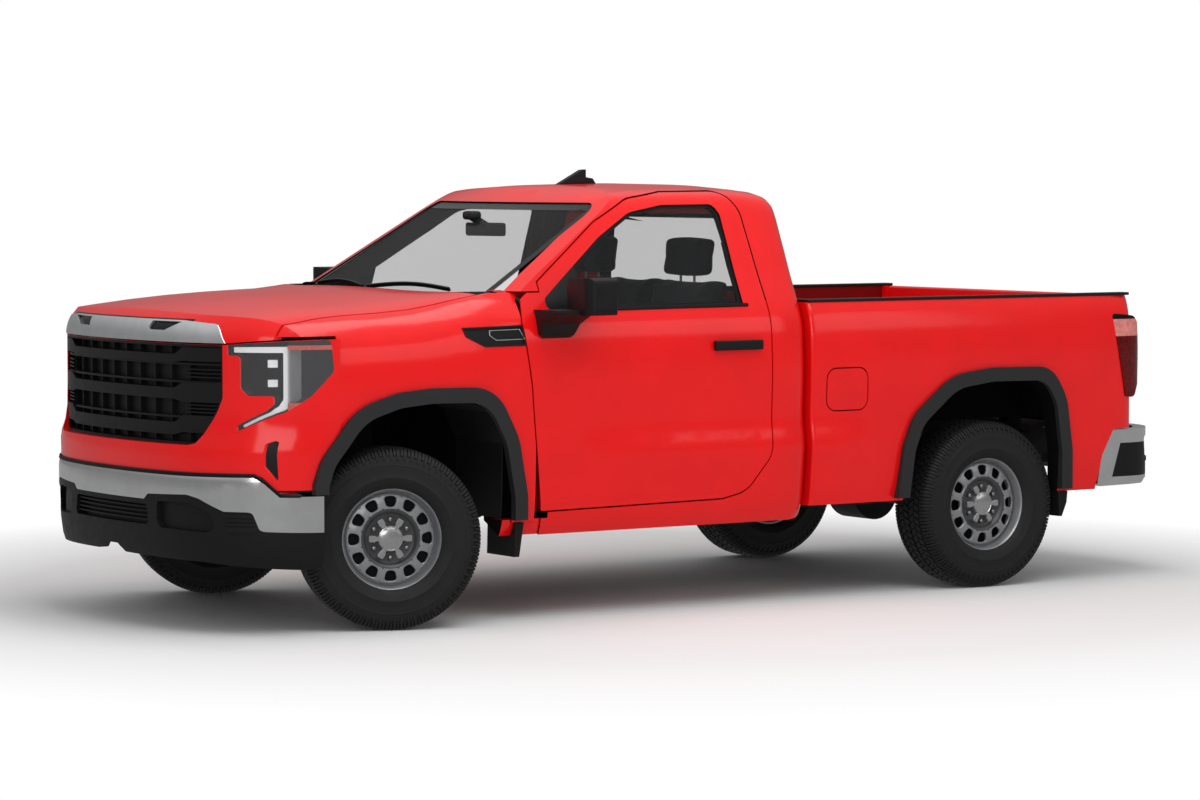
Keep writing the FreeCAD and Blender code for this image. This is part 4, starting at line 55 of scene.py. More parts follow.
truck = {"height": 1.917, "frontAxle": -1.715, "wheelbase": 3.213}


def along(share):
    return truck["frontAxle"] + share * truck["wheelbase"]


def up(share):
    return share * truck["height"]


# Finishes: colour, roughness and so on, with grain for the fine bump and blotch for the slow change of colour
finishes = {
    "paintRed": {"color": (0.74, 0.003, 0.004), "Roughness": 0.42, "Coat Weight": 0.75, "Coat Roughness": 0.13,
                 "Specular IOR Level": 0.08, "blotch": 0.03, "grain": 4},
    # paintRedShaded is the body red made darker: painted shade, used on the inward faces of the box sides
    "paintRedShaded": {"color": (0.16, 0.002, 0.003), "Roughness": 0.42, "Coat Weight": 0.3, "Coat Roughness": 0.16,
                  "Specular IOR Level": 0.10, "blotch": 0.05, "grain": 4},
    "chromePlate": {"color": (0.80, 0.805, 0.815), "Roughness": 0.20, "Metallic": 1.0, "blotch": 0.03, "grain": 9,
                    "wear": 0.04},
    "satinSilver": {"color": (0.70, 0.71, 0.72), "Roughness": 0.30, "Metallic": 0.9, "blotch": 0.04, "grain": 12,
                    "wear": 0.05},
    "blackPlastic": {"color": (0.007, 0.007, 0.0075), "Roughness": 0.46, "Specular IOR Level": 0.22, "blotch": 0.20,
                     "grain": 900,
                     "bump": 0.20, "wear": 0.10},
    "greyPlastic": {"color": (0.018, 0.0185, 0.020), "Roughness": 0.50, "Specular IOR Level": 0.30, "blotch": 0.15,
                    "grain": 900,
                    "bump": 0.20, "wear": 0.10},
    "glossBlack": {"color": (0.003, 0.003, 0.0035), "Roughness": 0.15, "Specular IOR Level": 0.25, "blotch": 0.10,
                   "grain": 300,
                   "wear": 0.03},
    "windowGlass": {"color": (0.02, 0.022, 0.023), "Roughness": 0.02, "Alpha": 0.17},
    "lampLens": {"color": (0.30, 0.30, 0.31), "Roughness": 0.03, "Alpha": 0.08},
    "lampSmoke": {"color": (0.10, 0.10, 0.105), "Roughness": 0.05, "Alpha": 0.42},
    "lampAmber": {"color": (0.42, 0.11, 0.095), "Roughness": 0.15, "Specular IOR Level": 0.3, "blotch": 0.12,
                  "grain": 120,
                  "wear": 0.04},
    "lampWhite": {"color": (0.88, 0.89, 0.90), "Roughness": 0.25, "blotch": 0.03, "grain": 200, "wear": 0.04},
    "lampRed": {"color": (0.10, 0.0008, 0.0015), "Roughness": 0.14, "Specular IOR Level": 0.30, "blotch": 0.30,
                "grain": 60,
                "wear": 0.04},
    "lampPink": {"color": (0.62, 0.20, 0.18), "Roughness": 0.16, "Specular IOR Level": 0.4, "blotch": 0.16, "grain": 45,
                 "wear": 0.04},
    "tyreRubber": {"color": (0.0095, 0.0095, 0.0098), "Roughness": 0.66, "Specular IOR Level": 0.32, "blotch": 0.18,
                   "grain": 260,
                   "bump": 0.22, "wear": 0.10},
    "wheelSteel": {"color": (0.30, 0.305, 0.315), "Roughness": 0.36, "Metallic": 0.55, "blotch": 0.05, "grain": 260,
                   "bump": 0.04, "wear": 0.06},
    # wheelBowlShade is the wheel steel made darker: painted shade for the recessed hub bowl
    "wheelBowlShade": {"color": (0.070, 0.071, 0.074), "Roughness": 0.42, "Metallic": 0.5, "blotch": 0.06, "grain": 260,
                  "bump": 0.04,
                  "wear": 0.06},
    "wheelBright": {"color": (0.52, 0.52, 0.53), "Roughness": 0.24, "Metallic": 0.9, "blotch": 0.04, "grain": 200,
                    "wear": 0.05},
    "chassisCoat": {"color": (0.006, 0.006, 0.0065), "Roughness": 0.62, "Specular IOR Level": 0.25, "blotch": 0.25,
                    "grain": 90,
                    "bump": 0.30, "wear": 0.12},
    # undercoatAndShade is near black: underbody coating under the truck and in the arches, and painted shade on hidden
    # faces that are body red on the real truck, such as the hood's underside, the firewall's front and the inward faces
    # of panels
    "undercoatAndShade": {"color": (0.003, 0.003, 0.003), "Roughness": 0.85, "Specular IOR Level": 0.10, "blotch": 0.25,
                  "grain": 220,
                  "bump": 0.40, "wear": 0.10},
    "cabinPlastic": {"color": (0.014, 0.014, 0.015), "Roughness": 0.62, "Specular IOR Level": 0.25, "blotch": 0.15,
                     "grain": 700,
                     "bump": 0.35, "wear": 0.10},
    "headlinerCloth": {"color": (0.020, 0.020, 0.021), "Roughness": 0.92, "Specular IOR Level": 0.10, "blotch": 0.15,
                       "grain": 900,
                       "bump": 0.40},
    "gasketRubber": {"color": (0.004, 0.004, 0.0045), "Roughness": 0.50, "Specular IOR Level": 0.20, "blotch": 0.15,
                     "grain": 500,
                     "bump": 0.12, "wear": 0.10},
    "bareSteel": {"color": (0.35, 0.345, 0.34), "Roughness": 0.35, "Metallic": 1.0, "blotch": 0.15, "grain": 150,
                  "wear": 0.12},
}


def newFinish(name, look):
    material = bpy.data.materials.new(name)
    material.use_nodes = True
    tree = material.node_tree
    shader = tree.nodes["Principled BSDF"]
    shader.inputs["Base Color"].default_value = (*look["color"], 1)
    for socket in ("Roughness", "Metallic", "Coat Weight", "Coat Roughness", "Specular IOR Level", "Alpha"):
        if socket in look:
            shader.inputs[socket].default_value = look[socket]
    if "grain" not in look:
        return material
    place = tree.nodes.new("ShaderNodeTexCoord")
    grain = tree.nodes.new("ShaderNodeTexNoise")
    grain.inputs["Scale"].default_value = look["grain"]
    grain.inputs["Detail"].default_value = 4
    tree.links.new(place.outputs["Object"], grain.inputs["Vector"])
    ramp = tree.nodes.new("ShaderNodeValToRGB")
    for element, at, shift in ((ramp.color_ramp.elements[0], 0.36, -1), (ramp.color_ramp.elements[1], 0.64, 1)):
        element.position = at
        element.color = (*[min(c * (1 + shift * look["blotch"]), 1) for c in look["color"]], 1)
    tree.links.new(grain.outputs["Fac"], ramp.inputs["Fac"])
    tree.links.new(ramp.outputs["Color"], shader.inputs["Base Color"])
    if "wear" in look:  # rough patches, finer than the blotches
        smear = tree.nodes.new("ShaderNodeTexNoise")
        smear.inputs["Scale"].default_value = 23
        reach = tree.nodes.new("ShaderNodeMapRange")
        reach.inputs["To Min"].default_value = max(look["Roughness"] - look["wear"], 0.02)
        reach.inputs["To Max"].default_value = look["Roughness"] + look["wear"]
        tree.links.new(place.outputs["Object"], smear.inputs["Vector"])
        tree.links.new(smear.outputs["Fac"], reach.inputs["Value"])
        tree.links.new(reach.outputs["Result"], shader.inputs["Roughness"])
    if "bump" in look:
        bump = tree.nodes.new("ShaderNodeBump")
        bump.inputs["Strength"].default_value = look["bump"]
        bump.inputs["Distance"].default_value = 0.001
        tree.links.new(grain.outputs["Fac"], bump.inputs["Height"])
        tree.links.new(bump.outputs["Normal"], shader.inputs["Normal"])
    return material


mats = {name: newFinish(name, look) for name, look in finishes.items()}


# Woven seat cloth: two crossed waves, so that threads show close to
weave = {"dark": (0.014, 0.014, 0.015), "light": (0.024, 0.024, 0.026), "pitch": 260, "rough": 0.93, "sheen": 0.10,
         "bump": 0.4}


def newWeave():
    material = bpy.data.materials.new("seatCloth")
    material.use_nodes = True
    tree = material.node_tree
    shader = tree.nodes["Principled BSDF"]
    shader.inputs["Roughness"].default_value = weave["rough"]
    shader.inputs["Sheen Weight"].default_value = weave["sheen"]
    place = tree.nodes.new("ShaderNodeTexCoord")
    threads = []
    for turn in (0.6, -0.6):
        mapping = tree.nodes.new("ShaderNodeMapping")
        mapping.inputs["Rotation"].default_value = (0.3, turn, 0.2)
        wave = tree.nodes.new("ShaderNodeTexWave")
        wave.inputs["Scale"].default_value = weave["pitch"]
        wave.inputs["Distortion"].default_value = 1.5
        tree.links.new(place.outputs["Object"], mapping.inputs["Vector"])
        tree.links.new(mapping.outputs["Vector"], wave.inputs["Vector"])
        threads.append(wave)
    cross = tree.nodes.new("ShaderNodeMath")
    cross.operation = "MULTIPLY"
    for i, wave in enumerate(threads):
        tree.links.new(wave.outputs["Fac"], cross.inputs[i])
    ramp = tree.nodes.new("ShaderNodeValToRGB")
    ramp.color_ramp.elements[0].color = (*weave["dark"], 1)
    ramp.color_ramp.elements[1].color = (*weave["light"], 1)
    bump = tree.nodes.new("ShaderNodeBump")
    bump.inputs["Strength"].default_value = weave["bump"]
    bump.inputs["Distance"].default_value = 0.0008
    tree.links.new(cross.outputs[0], ramp.inputs["Fac"])
    tree.links.new(ramp.outputs["Color"], shader.inputs["Base Color"])
    tree.links.new(cross.outputs[0], bump.inputs["Height"])
    tree.links.new(bump.outputs["Normal"], shader.inputs["Normal"])
    return material


mats["seatCloth"] = newWeave()
finishOf = {"body_red": "paintRed", "chrome": "chromePlate", "black_plastic": "blackPlastic",
            "window_glass": "windowGlass",
            "lamp_clear": "lampLens", "lamp_red": "lampRed", "lamp_light": "lampWhite", "gloss_black": "glossBlack",
            "tyre": "tyreRubber", "wheel_steel": "wheelSteel", "chassis": "chassisCoat", "seat_fabric": "seatCloth",
            "interior_plastic": "cabinPlastic"}
print("finishes made")


# Helpers that every piece goes through
def finishPiece(piece, body, hides=()):
    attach(piece, body)
    if hides:
        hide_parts(*hides)
    return piece


def newPiece(name, bm, materials, body, hides=(), sharp=35):
    for edge in bm.edges:
        edge.smooth = len(edge.link_faces) == 2 and edge.calc_face_angle(0) < math.radians(sharp)
    for face in bm.faces:
        face.smooth = True
    mesh = bpy.data.meshes.new(name)
    bm.to_mesh(mesh)
    bm.free()
    for material in materials:
        mesh.materials.append(mats[material])
    piece = bpy.data.objects.new(name, mesh)
    scene.collection.objects.link(piece)
    return finishPiece(piece, body, hides)


def meshOf(node):
    bm = bmesh.new()
    bm.from_mesh(nodes[node].data)
    bmesh.ops.remove_doubles(bm, verts=bm.verts, dist=1e-5)
    bmesh.ops.dissolve_degenerate(bm, dist=1e-6, edges=bm.edges)
    return bm


surfaces = {}


def surface(node):
    if node not in surfaces:
        bm = meshOf(node)
        surfaces[node] = BVHTree.FromBMesh(bm)
        bm.free()
    return surfaces[node]


def hit(node, start, direction):
    point, normal, _, _ = surface(node).ray_cast(Vector(start), Vector(direction).normalized())
    if point is None:
        return None
    return point, normal


cabMiddle = Vector((0, along(0.42), up(0.62)))


def outwardX(face):
    return face.normal.x * (1 if face.calc_center_median().x > 0 else -1)


hubHeight = 0.3945


def facesHub(face):
    c = face.calc_center_median()
    for axle in (along(0), along(1)):
        toHub = Vector((0, axle - c.y, hubHeight - c.z))
        if toHub.length < 0.74 and abs(face.normal.x) < 0.75 and face.normal.dot(toHub) > 0:
            return True
    return False


def inArch(face):
    c = face.calc_center_median()
    if facesHub(face):
        return True
    for axle in (along(0), along(1)):
        toHub = Vector((0, axle - c.y, hubHeight - c.z))
        if toHub.length < 0.74 and abs(c.x) < 0.90 and outwardX(face) > -0.2 and c.z < 0.92:
            return True
    return False


def cabFinish(face):
    c = face.calc_center_median()
    if inArch(face):
        return "undercoatAndShade"
    if face.normal.z < -0.6 and c.z < 0.56:
        return "undercoatAndShade"
    if along(0.175) < c.y < along(0.60) and c.z > 0.44 and abs(c.x) < 0.95 and face.normal.dot(cabMiddle - c) > 0.02:
        return "headlinerCloth" if c.z > up(0.93) else "cabinPlastic"
    for glass in ("windshield", "rear_window"):
        if surface(glass).find_nearest(c)[3] < 0.030 and face.normal.dot((c - cabMiddle).normalized()) < 0.45:
            return "gasketRubber"
    # Forward-facing faces at the cab's front go near black: painted shade under the hood, where the real firewall is
    # body red
    if c.y < along(0.185) and face.normal.y < -0.5:
        return "undercoatAndShade"
    return "paintRed"


def doorFinish(face):
    c = face.calc_center_median()
    if outwardX(face) < -0.35:
        return "cabinPlastic"
    glass = "door_glass_left" if c.x > 0 else "door_glass_right"
    if c.z > up(0.70) and outwardX(face) < 0.55 and surface(glass).find_nearest(c)[3] < 0.030:
        return "gasketRubber"
    return "paintRed"


def panelFinish(face):
    # Inward faces go near black as painted shade; downward faces and faces in the wheel arches as underbody coating
    if outwardX(face) < -0.3 or face.normal.z < -0.55 or inArch(face):
        return "undercoatAndShade"
    return "paintRed"


def boxFinish(face):
    c = face.calc_center_median()
    # Inward faces of the box sides above the bed floor take the darker red: painted shade inside the bed, whose real
    # walls are body red
    if c.z > 0.80 and outwardX(face) < -0.3:
        return "paintRedShaded"
    return panelFinish(face)


def floorFinish(face):
    c = face.calc_center_median()
    if c.z < 0.80 or face.normal.z < -0.3 or outwardX(face) > 0.5 or facesHub(face):
        return "undercoatAndShade"
    return "paintRed"


# scoopShade bounds the recess along the top edge of the hood trim; hood faces there are painted gloss black as painted
# shade
scoopShade = {"reach": 0.56, "high": 0.7020, "low": 0.6600, "back": -0.20}


def hoodFinish(face):
    c = face.calc_center_median()
    # The hood's underside goes near black: painted shade, where the real hood is body red
    if face.normal.z < -0.25:
        return "undercoatAndShade"
    # Hood faces in the recess above the trim go gloss black: painted shade, where the real hood is body red
    if c.y < along(scoopShade["back"]) and abs(c.x) < scoopShade["reach"] and c.z < up(scoopShade["high"]) and c.z > up(scoopShade["low"]):
        return "glossBlack"
    return "paintRed"


def noseFinish(face):
    return "undercoatAndShade" if face.normal.y > 0.45 else "paintRed"


def lensFinish(face):
    c = face.calc_center_median()
    if abs(c.x) < lamps["smokeIn"]:
        return "lampLens"
    if up(lamps["amberFoot"]) < c.z < up(lamps["amberHead"]):
        return "lampAmber"
    if c.z < up(lamps["reflectorTop"]):
        return "lampAmber"
    return "lampSmoke"


def bumperFinish(face):
    c = face.calc_center_median()
    rise = (c.z / up(1) - recess["foot"]) / (recess["head"] - recess["foot"])
    front = recess["footY"] + (recess["headY"] - recess["footY"]) * rise
    if up(recess["foot"]) < c.z < up(recess["head"]) and c.y > along(front) and outwardX(face) > 0.35:
        return "blackPlastic"
    return "chromePlate"


def tailFinish(face):
    c = face.calc_center_median()
    if outwardX(face) < -0.3:
        return "glossBlack"
    if up(tails["clearFoot"]) < c.z < up(tails["clearHead"]):
        return "lampPink"
    if c.z >= up(tails["clearHead"]):
        return "glossBlack"
    return "lampRed"


lamps = {"amberFoot": 0.6370, "amberHead": 0.6470, "smokeIn": 0.9370, "reflectorTop": 0.5200}
recess = {"foot": 0.2570, "head": 0.3420, "footY": 1.2387, "headY": 1.2546}
recessFoot = Vector((0, along(recess["footY"]), up(recess["foot"])))
recessHead = Vector((0, along(recess["headY"]), up(recess["head"])))
recessSlope = (recessHead - recessFoot).cross(Vector((1, 0, 0))).normalized()
tails = {"clearHead": 0.6560, "clearFoot": 0.6130}
rules = {"cab_shell": cabFinish, "door_left": doorFinish, "door_right": doorFinish, "fenders": panelFinish,
         "box_sides": boxFinish, "box_floor": floorFinish, "hood": hoodFinish, "front_fascia": noseFinish,
         "headlamp_lenses": lensFinish, "tail_lamps": tailFinish, "rear_bumper": bumperFinish}
level = Vector((0, 0, 1))
sideways = Vector((1, 0, 0))
cuts = {"headlamp_lenses": [(level * up(lamps["amberFoot"]), level), (level * up(lamps["amberHead"]), level),
                            (level * up(lamps["reflectorTop"]), level), (sideways * lamps["smokeIn"], sideways),
                            (sideways * -lamps["smokeIn"], sideways)],
        "rear_bumper": [(recessFoot, level), (recessHead, level), (recessFoot, recessSlope)],
        "hood": [(level * up(scoopShade["high"]), level), (level * up(scoopShade["low"]), level),
                 (sideways * scoopShade["reach"], sideways), (sideways * -scoopShade["reach"], sideways)],
        "tail_lamps": [(level * up(tails["clearHead"]), level), (level * up(tails["clearFoot"]), level)]}
soften = {"mirror_left": 0.013, "mirror_right": 0.013, "door_handle_left": 0.004, "door_handle_right": 0.004,
          "roof_fin": 0.003, "bumper_steps": 0.005, "box_caps": 0.004}
dressAs = {"hood_trim": "satinSilver", "arch_trims": "greyPlastic", "rear_axle": "chassisCoat",
           "cowl_panel": "blackPlastic"}


def dressNode(name, sharp=28):
    bm = meshOf(name)
    for at, normal in cuts.get(name, ()):
        bmesh.ops.bisect_plane(bm, geom=bm.verts[:] + bm.edges[:] + bm.faces[:], plane_co=at, plane_no=normal)
    if name in soften:
        bmesh.ops.dissolve_limit(bm, angle_limit=math.radians(2), verts=bm.verts, edges=bm.edges)
        corners = [edge for edge in bm.edges
                   if len(edge.link_faces) == 2 and edge.calc_face_angle(0) > math.radians(38)]
        bmesh.ops.bevel(bm, geom=corners, offset=soften[name], segments=3, affect="EDGES", profile=0.5,
                        clamp_overlap=True)
        bmesh.ops.triangulate(bm, faces=[face for face in bm.faces if len(face.verts) > 4])
    plain = dressAs.get(name, finishOf[slotOf[name]])
    used = [plain]
    bm.normal_update()
    for face in bm.faces:
        chosen = rules[name](face) if name in rules else plain
        if chosen not in used:
            used.append(chosen)
        face.material_index = used.index(chosen)
    return newPiece("dressed_" + name, bm, used, bodyOf[name], (name,), sharp)


remade = {"bench_seat"}
for kind in ("tyre_", "rim_"):
    for end in ("front_", "rear_"):
        remade |= {kind + end + side for side in ("left", "right")}
for node in nodes:
    if node not in remade:
        dressNode(node)
print("CAD nodes dressed")


# One Geometry Nodes tree repeats a shape: copy i is moved i times Move and turned i times Turn
def newRepeatTree():
    tree = bpy.data.node_groups.new("repeatShape", "GeometryNodeTree")
    tree.interface.new_socket("Geometry", in_out="OUTPUT", socket_type="NodeSocketGeometry")
    tree.interface.new_socket("Geometry", in_out="INPUT", socket_type="NodeSocketGeometry")
    sockets = {}
    for label, kind in (("Count", "NodeSocketInt"), ("Move", "NodeSocketVector"), ("Turn", "NodeSocketVector"),
                        ("Finish", "NodeSocketMaterial")):
        sockets[label] = tree.interface.new_socket(label, in_out="INPUT", socket_type=kind).identifier
    start = tree.nodes.new("NodeGroupInput")
    end = tree.nodes.new("NodeGroupOutput")
    points = tree.nodes.new("GeometryNodePoints")
    index = tree.nodes.new("GeometryNodeInputIndex")
    step, angle = tree.nodes.new("ShaderNodeVectorMath"), tree.nodes.new("ShaderNodeVectorMath")
    turn = tree.nodes.new("FunctionNodeEulerToRotation")
    copies = tree.nodes.new("GeometryNodeInstanceOnPoints")
    real = tree.nodes.new("GeometryNodeRealizeInstances")
    paint = tree.nodes.new("GeometryNodeSetMaterial")
    for node, label in ((step, "Move"), (angle, "Turn")):
        node.operation = "SCALE"
        tree.links.new(start.outputs[label], node.inputs[0])
        tree.links.new(index.outputs["Index"], node.inputs["Scale"])
    tree.links.new(start.outputs["Count"], points.inputs["Count"])
    tree.links.new(step.outputs["Vector"], points.inputs["Position"])
    tree.links.new(points.outputs[0], copies.inputs["Points"])
    tree.links.new(start.outputs["Geometry"], copies.inputs["Instance"])
    tree.links.new(angle.outputs["Vector"], turn.inputs["Euler"])
    tree.links.new(turn.outputs["Rotation"], copies.inputs["Rotation"])
    tree.links.new(copies.outputs["Instances"], real.inputs["Geometry"])
    tree.links.new(real.outputs["Geometry"], paint.inputs["Geometry"])
    tree.links.new(start.outputs["Finish"], paint.inputs["Material"])
    tree.links.new(paint.outputs["Geometry"], end.inputs["Geometry"])
    return tree, sockets


repeatTree, repeatSockets = newRepeatTree()


def repeated(bm, count, finish, move=(0, 0, 0), turn=(0, 0, 0)):
    mesh = bpy.data.meshes.new("shapeToRepeat")
    bm.to_mesh(mesh)
    bm.free()
    holder = bpy.data.objects.new("shapeToRepeat", mesh)
    scene.collection.objects.link(holder)
    modifier = holder.modifiers.new("repeat", "NODES")
    modifier.node_group = repeatTree
    for label, value in (("Count", count), ("Move", move), ("Turn", turn), ("Finish", mats[finish])):
        modifier[repeatSockets[label]] = value
    depsgraph = bpy.context.evaluated_depsgraph_get()
    made = bpy.data.meshes.new_from_object(holder.evaluated_get(depsgraph))
    out = bmesh.new()
    out.from_mesh(made)
    holder.modifiers.clear()
    bpy.data.objects.remove(holder)
    return out


def lathe(profile, steps=96, closed=True):
    bm = bmesh.new()
    rings = []
    for i in range(steps):
        a = 2 * math.pi * i / steps
        rings.append([bm.verts.new((x, -math.sin(a) * r, math.cos(a) * r)) for x, r in profile])
    last = len(profile) if closed else len(profile) - 1
    for i in range(steps):
        near, away = rings[i], rings[(i + 1) % steps]
        for j in range(last):
            k = (j + 1) % len(profile)
            bm.faces.new((near[j], near[k], away[k], away[j]))
    bmesh.ops.recalc_face_normals(bm, faces=bm.faces)
    if not closed and sum(face.normal.x * face.calc_area() for face in bm.faces) < 0:
        bmesh.ops.reverse_faces(bm, faces=bm.faces)
    return bm


def join(into, more):
    mesh = bpy.data.meshes.new("more")
    more.to_mesh(mesh)
    more.free()
    into.from_mesh(mesh)
    bpy.data.meshes.remove(mesh)


tyre = {"width": 0.2550, "groove": 0.0095, "pitches": 74}
tyreLine = [(0.098, 0.2166), (0.104, 0.2235), (0.1120, 0.2320), (0.1205, 0.2460), (0.1252, 0.2640), (0.1264, 0.2660),
            (0.1264, 0.2700), (0.1256, 0.2720), (0.1268, 0.3000), (0.1262, 0.3180), (0.1272, 0.3195), (0.1272, 0.3235),
            (0.1258, 0.3250), (0.1232, 0.3480), (0.1185, 0.3620), (0.1090, 0.3745), (0.0960, 0.3815), (0.0600, 0.3840)]
shoulderLong = [(0.0780, 0.3938), (0.0960, 0.3922), (0.1090, 0.3866), (0.1190, 0.3752), (0.1246, 0.3600),
                (0.1262, 0.3430)]
shoulderShort = [(0.0820, 0.3936), (0.0960, 0.3922), (0.1090, 0.3866), (0.1190, 0.3752), (0.1240, 0.3640)]


def treadBlock(bm, line, low, high, side, depth=None, skew=0.0):
    depth = depth or tyre["groove"]
    rows = []
    for i, (x, r) in enumerate(line):
        lean = skew * i / (len(line) - 1)
        inner = (x - depth * 0.8 * min(max((x - 0.085) / 0.04, 0), 1),
                 r - depth * (1 - 0.7 * min(max((x - 0.1) / 0.03, 0), 1)))
        row = []
        for (px, pr), a in (((x, r), low), ((x, r), high), (inner, high), (inner, low)):
            a = math.radians(a + lean)
            row.append(bm.verts.new((side * px, -math.sin(a) * pr, math.cos(a) * pr)))
        rows.append(row)
    for one, two in zip(rows, rows[1:]):
        for j in range(4):
            k = (j + 1) % 4
            bm.faces.new((one[j], one[k], two[k], two[j]))
    bm.faces.new(rows[0])
    bm.faces.new(rows[-1][::-1])


def treadPitch():
    pitch = 360 / tyre["pitches"]
    bm = bmesh.new()
    for side, shift in ((1, 0.0), (-1, pitch / 2)):
        treadBlock(bm, shoulderLong, shift + 0.10, shift + pitch * 0.40, side)
        treadBlock(bm, shoulderShort, shift + pitch * 0.52, shift + pitch * 0.86, side)
        treadBlock(bm, [(0.0420, 0.3944), (0.0710, 0.3940)], shift + 0.2, shift + pitch * 0.80, side, skew=pitch * 0.4)
        treadBlock(bm, [(0.0060, 0.3945), (0.0350, 0.3944)], shift + 0.2, shift + pitch * 0.80, side, skew=-pitch * 0.4)
    bmesh.ops.recalc_face_normals(bm, faces=bm.faces)
    return bm


wheel = {"nuts": 6, "nutCircle": 0.0830, "nutRadius": 0.0110, "face": 0.0500, "clawTop": 0.0240, "clawFoot": 0.0300,
         "clawTaper": (0.84, 0.94), "windows": 12, "windowMid": 0.1610, "windowHalf": 0.0235, "windowTurn": 8.6,
         "windowDeep": 0.013, "windowCorner": 3.2, "windowFlare": 0.10, "ringIn": 0.1300, "ringOut": 0.1900}
nutLine = [(-0.004, 1.0), (0.011, 1.0), (0.015, 0.80), (0.017, 0.45)]
clawLine = [(0.0115, 0.0300), (0.0115, 0.0640), (0.0165, 0.0720), (0.0165, 0.0935), (0.0120, 0.0985)]
discLine = [(0.0500, 0.0300), (0.0500, 0.1000), (0.0530, 0.1080), (0.0665, 0.1165), (0.0712, 0.1225), (0.0725, 0.1310)]
faceLine = [(0.0725, 0.1300), (0.0735, 0.1420), (0.0712, 0.1640), (0.0650, 0.1850), (0.0632, 0.1900)]
lipLine = [(0.0620, 0.1870), (0.0560, 0.1950), (0.0450, 0.1990), (0.0440, 0.2040), (0.0560, 0.2080), (0.0860, 0.2100),
           (0.0970, 0.2150), (0.1015, 0.2210), (0.1020, 0.2280), (0.0990, 0.2298), (0.0900, 0.2290), (0.0860, 0.2164),
           (-0.0980, 0.2164), (-0.1015, 0.2280), (-0.1030, 0.2285), (-0.1030, 0.2120), (0.0300, 0.2080),
           (0.0380, 0.1900)]
brakeLine = [(0.0250, 0.0600), (0.0250, 0.1960), (0.0120, 0.1960), (0.0120, 0.0600)]


def faceX(r):
    for (x0, r0), (x1, r1) in zip(faceLine, faceLine[1:]):
        if r <= r1:
            return x0 + (x1 - x0) * (r - r0) / (r1 - r0)
    return faceLine[-1][0]


def windowSector(steps=32):
    bm = bmesh.new()
    reach = 180 / wheel["windows"]
    middle = (wheel["ringIn"] + wheel["ringOut"]) / 2
    half = (wheel["ringOut"] - wheel["ringIn"]) / 2
    rings = []
    for grow, drop in ((1.0, wheel["windowDeep"]), (1.0, 0.0032), (1.10, 0.0006), (1.26, 0.0), (None, 0.0)):
        ring = []
        for i in range(steps):
            a = 2 * math.pi * (i + 0.5) / steps
            c, s = math.cos(a), math.sin(a)
            if grow is None:
                k = 1 / max(abs(c), abs(s))
                turn, r = c * k * reach, middle + s * k * half
            else:
                k = (abs(c) ** wheel["windowCorner"] + abs(s) ** wheel["windowCorner"]) ** (-1 / wheel["windowCorner"])
                r = wheel["windowMid"] + s * k * wheel["windowHalf"] * (1 + (grow - 1) * 0.9)
                turn = c * k * wheel["windowTurn"] * grow * (1 + wheel["windowFlare"] * s)
            turn = math.radians(turn)
            ring.append(bm.verts.new((faceX(r) - drop, -math.sin(turn) * r, math.cos(turn) * r)))
        rings.append(ring)
    for one, two in zip(rings, rings[1:]):
        for j in range(steps):
            k = (j + 1) % steps
            bm.faces.new((one[j], one[k], two[k], two[j]))
    bmesh.ops.recalc_face_normals(bm, faces=bm.faces)
    if sum(face.normal.x * face.calc_area() for face in bm.faces) < 0:
        bmesh.ops.reverse_faces(bm, faces=bm.faces)
    return bm


def nutShape():
    bm = bmesh.new()
    rows = []
    for rise, share in nutLine:
        row = []
        for i in range(6):
            a = math.radians(60 * i)
            y, z = math.cos(a) * wheel["nutRadius"] * share, math.sin(a) * wheel["nutRadius"] * share
            row.append(bm.verts.new((wheel["face"] + rise, y, wheel["nutCircle"] + z)))
        rows.append(row)
    for one, two in zip(rows, rows[1:]):
        for j in range(6):
            k = (j + 1) % 6
            bm.faces.new((one[j], one[k], two[k], two[j]))
    bm.faces.new(rows[-1])
    bmesh.ops.recalc_face_normals(bm, faces=bm.faces)
    return bm


def clawShape():
    bm = bmesh.new()
    x, start = wheel["face"], wheel["clawFoot"]
    slim, short = wheel["clawTaper"]
    outline = [(-y, z) for y, z in clawLine] + clawLine[::-1]
    turn = Matrix.Rotation(math.radians(30), 3, "X")
    foot = [bm.verts.new(turn @ Vector((x - 0.006, y, z))) for y, z in outline]
    head = []
    for y, z in outline:
        head.append(bm.verts.new(turn @ Vector((x + wheel["clawTop"], y * slim, start + (z - start) * short))))
    for j in range(len(outline)):
        k = (j + 1) % len(outline)
        bm.faces.new((foot[j], foot[k], head[k], head[j]))
    bm.faces.new(head)
    bmesh.ops.recalc_face_normals(bm, faces=bm.faces)
    bmesh.ops.bevel(bm, geom=[e for e in bm.edges if all(v in head for v in e.verts)], offset=0.003, segments=2,
                    affect="EDGES")
    return bm


def wheelPlace(joint):
    at = Vector(joint["pos_m"])
    out = Vector(joint["axis"]).normalized()
    if (out.x > 0) != (at.x > 0):
        out = -out
    up3 = Vector((0, 0, 1))
    across3 = up3.cross(out)
    turn = Matrix((out, across3, up3)).transposed().to_4x4()
    return Matrix.Translation(at) @ turn


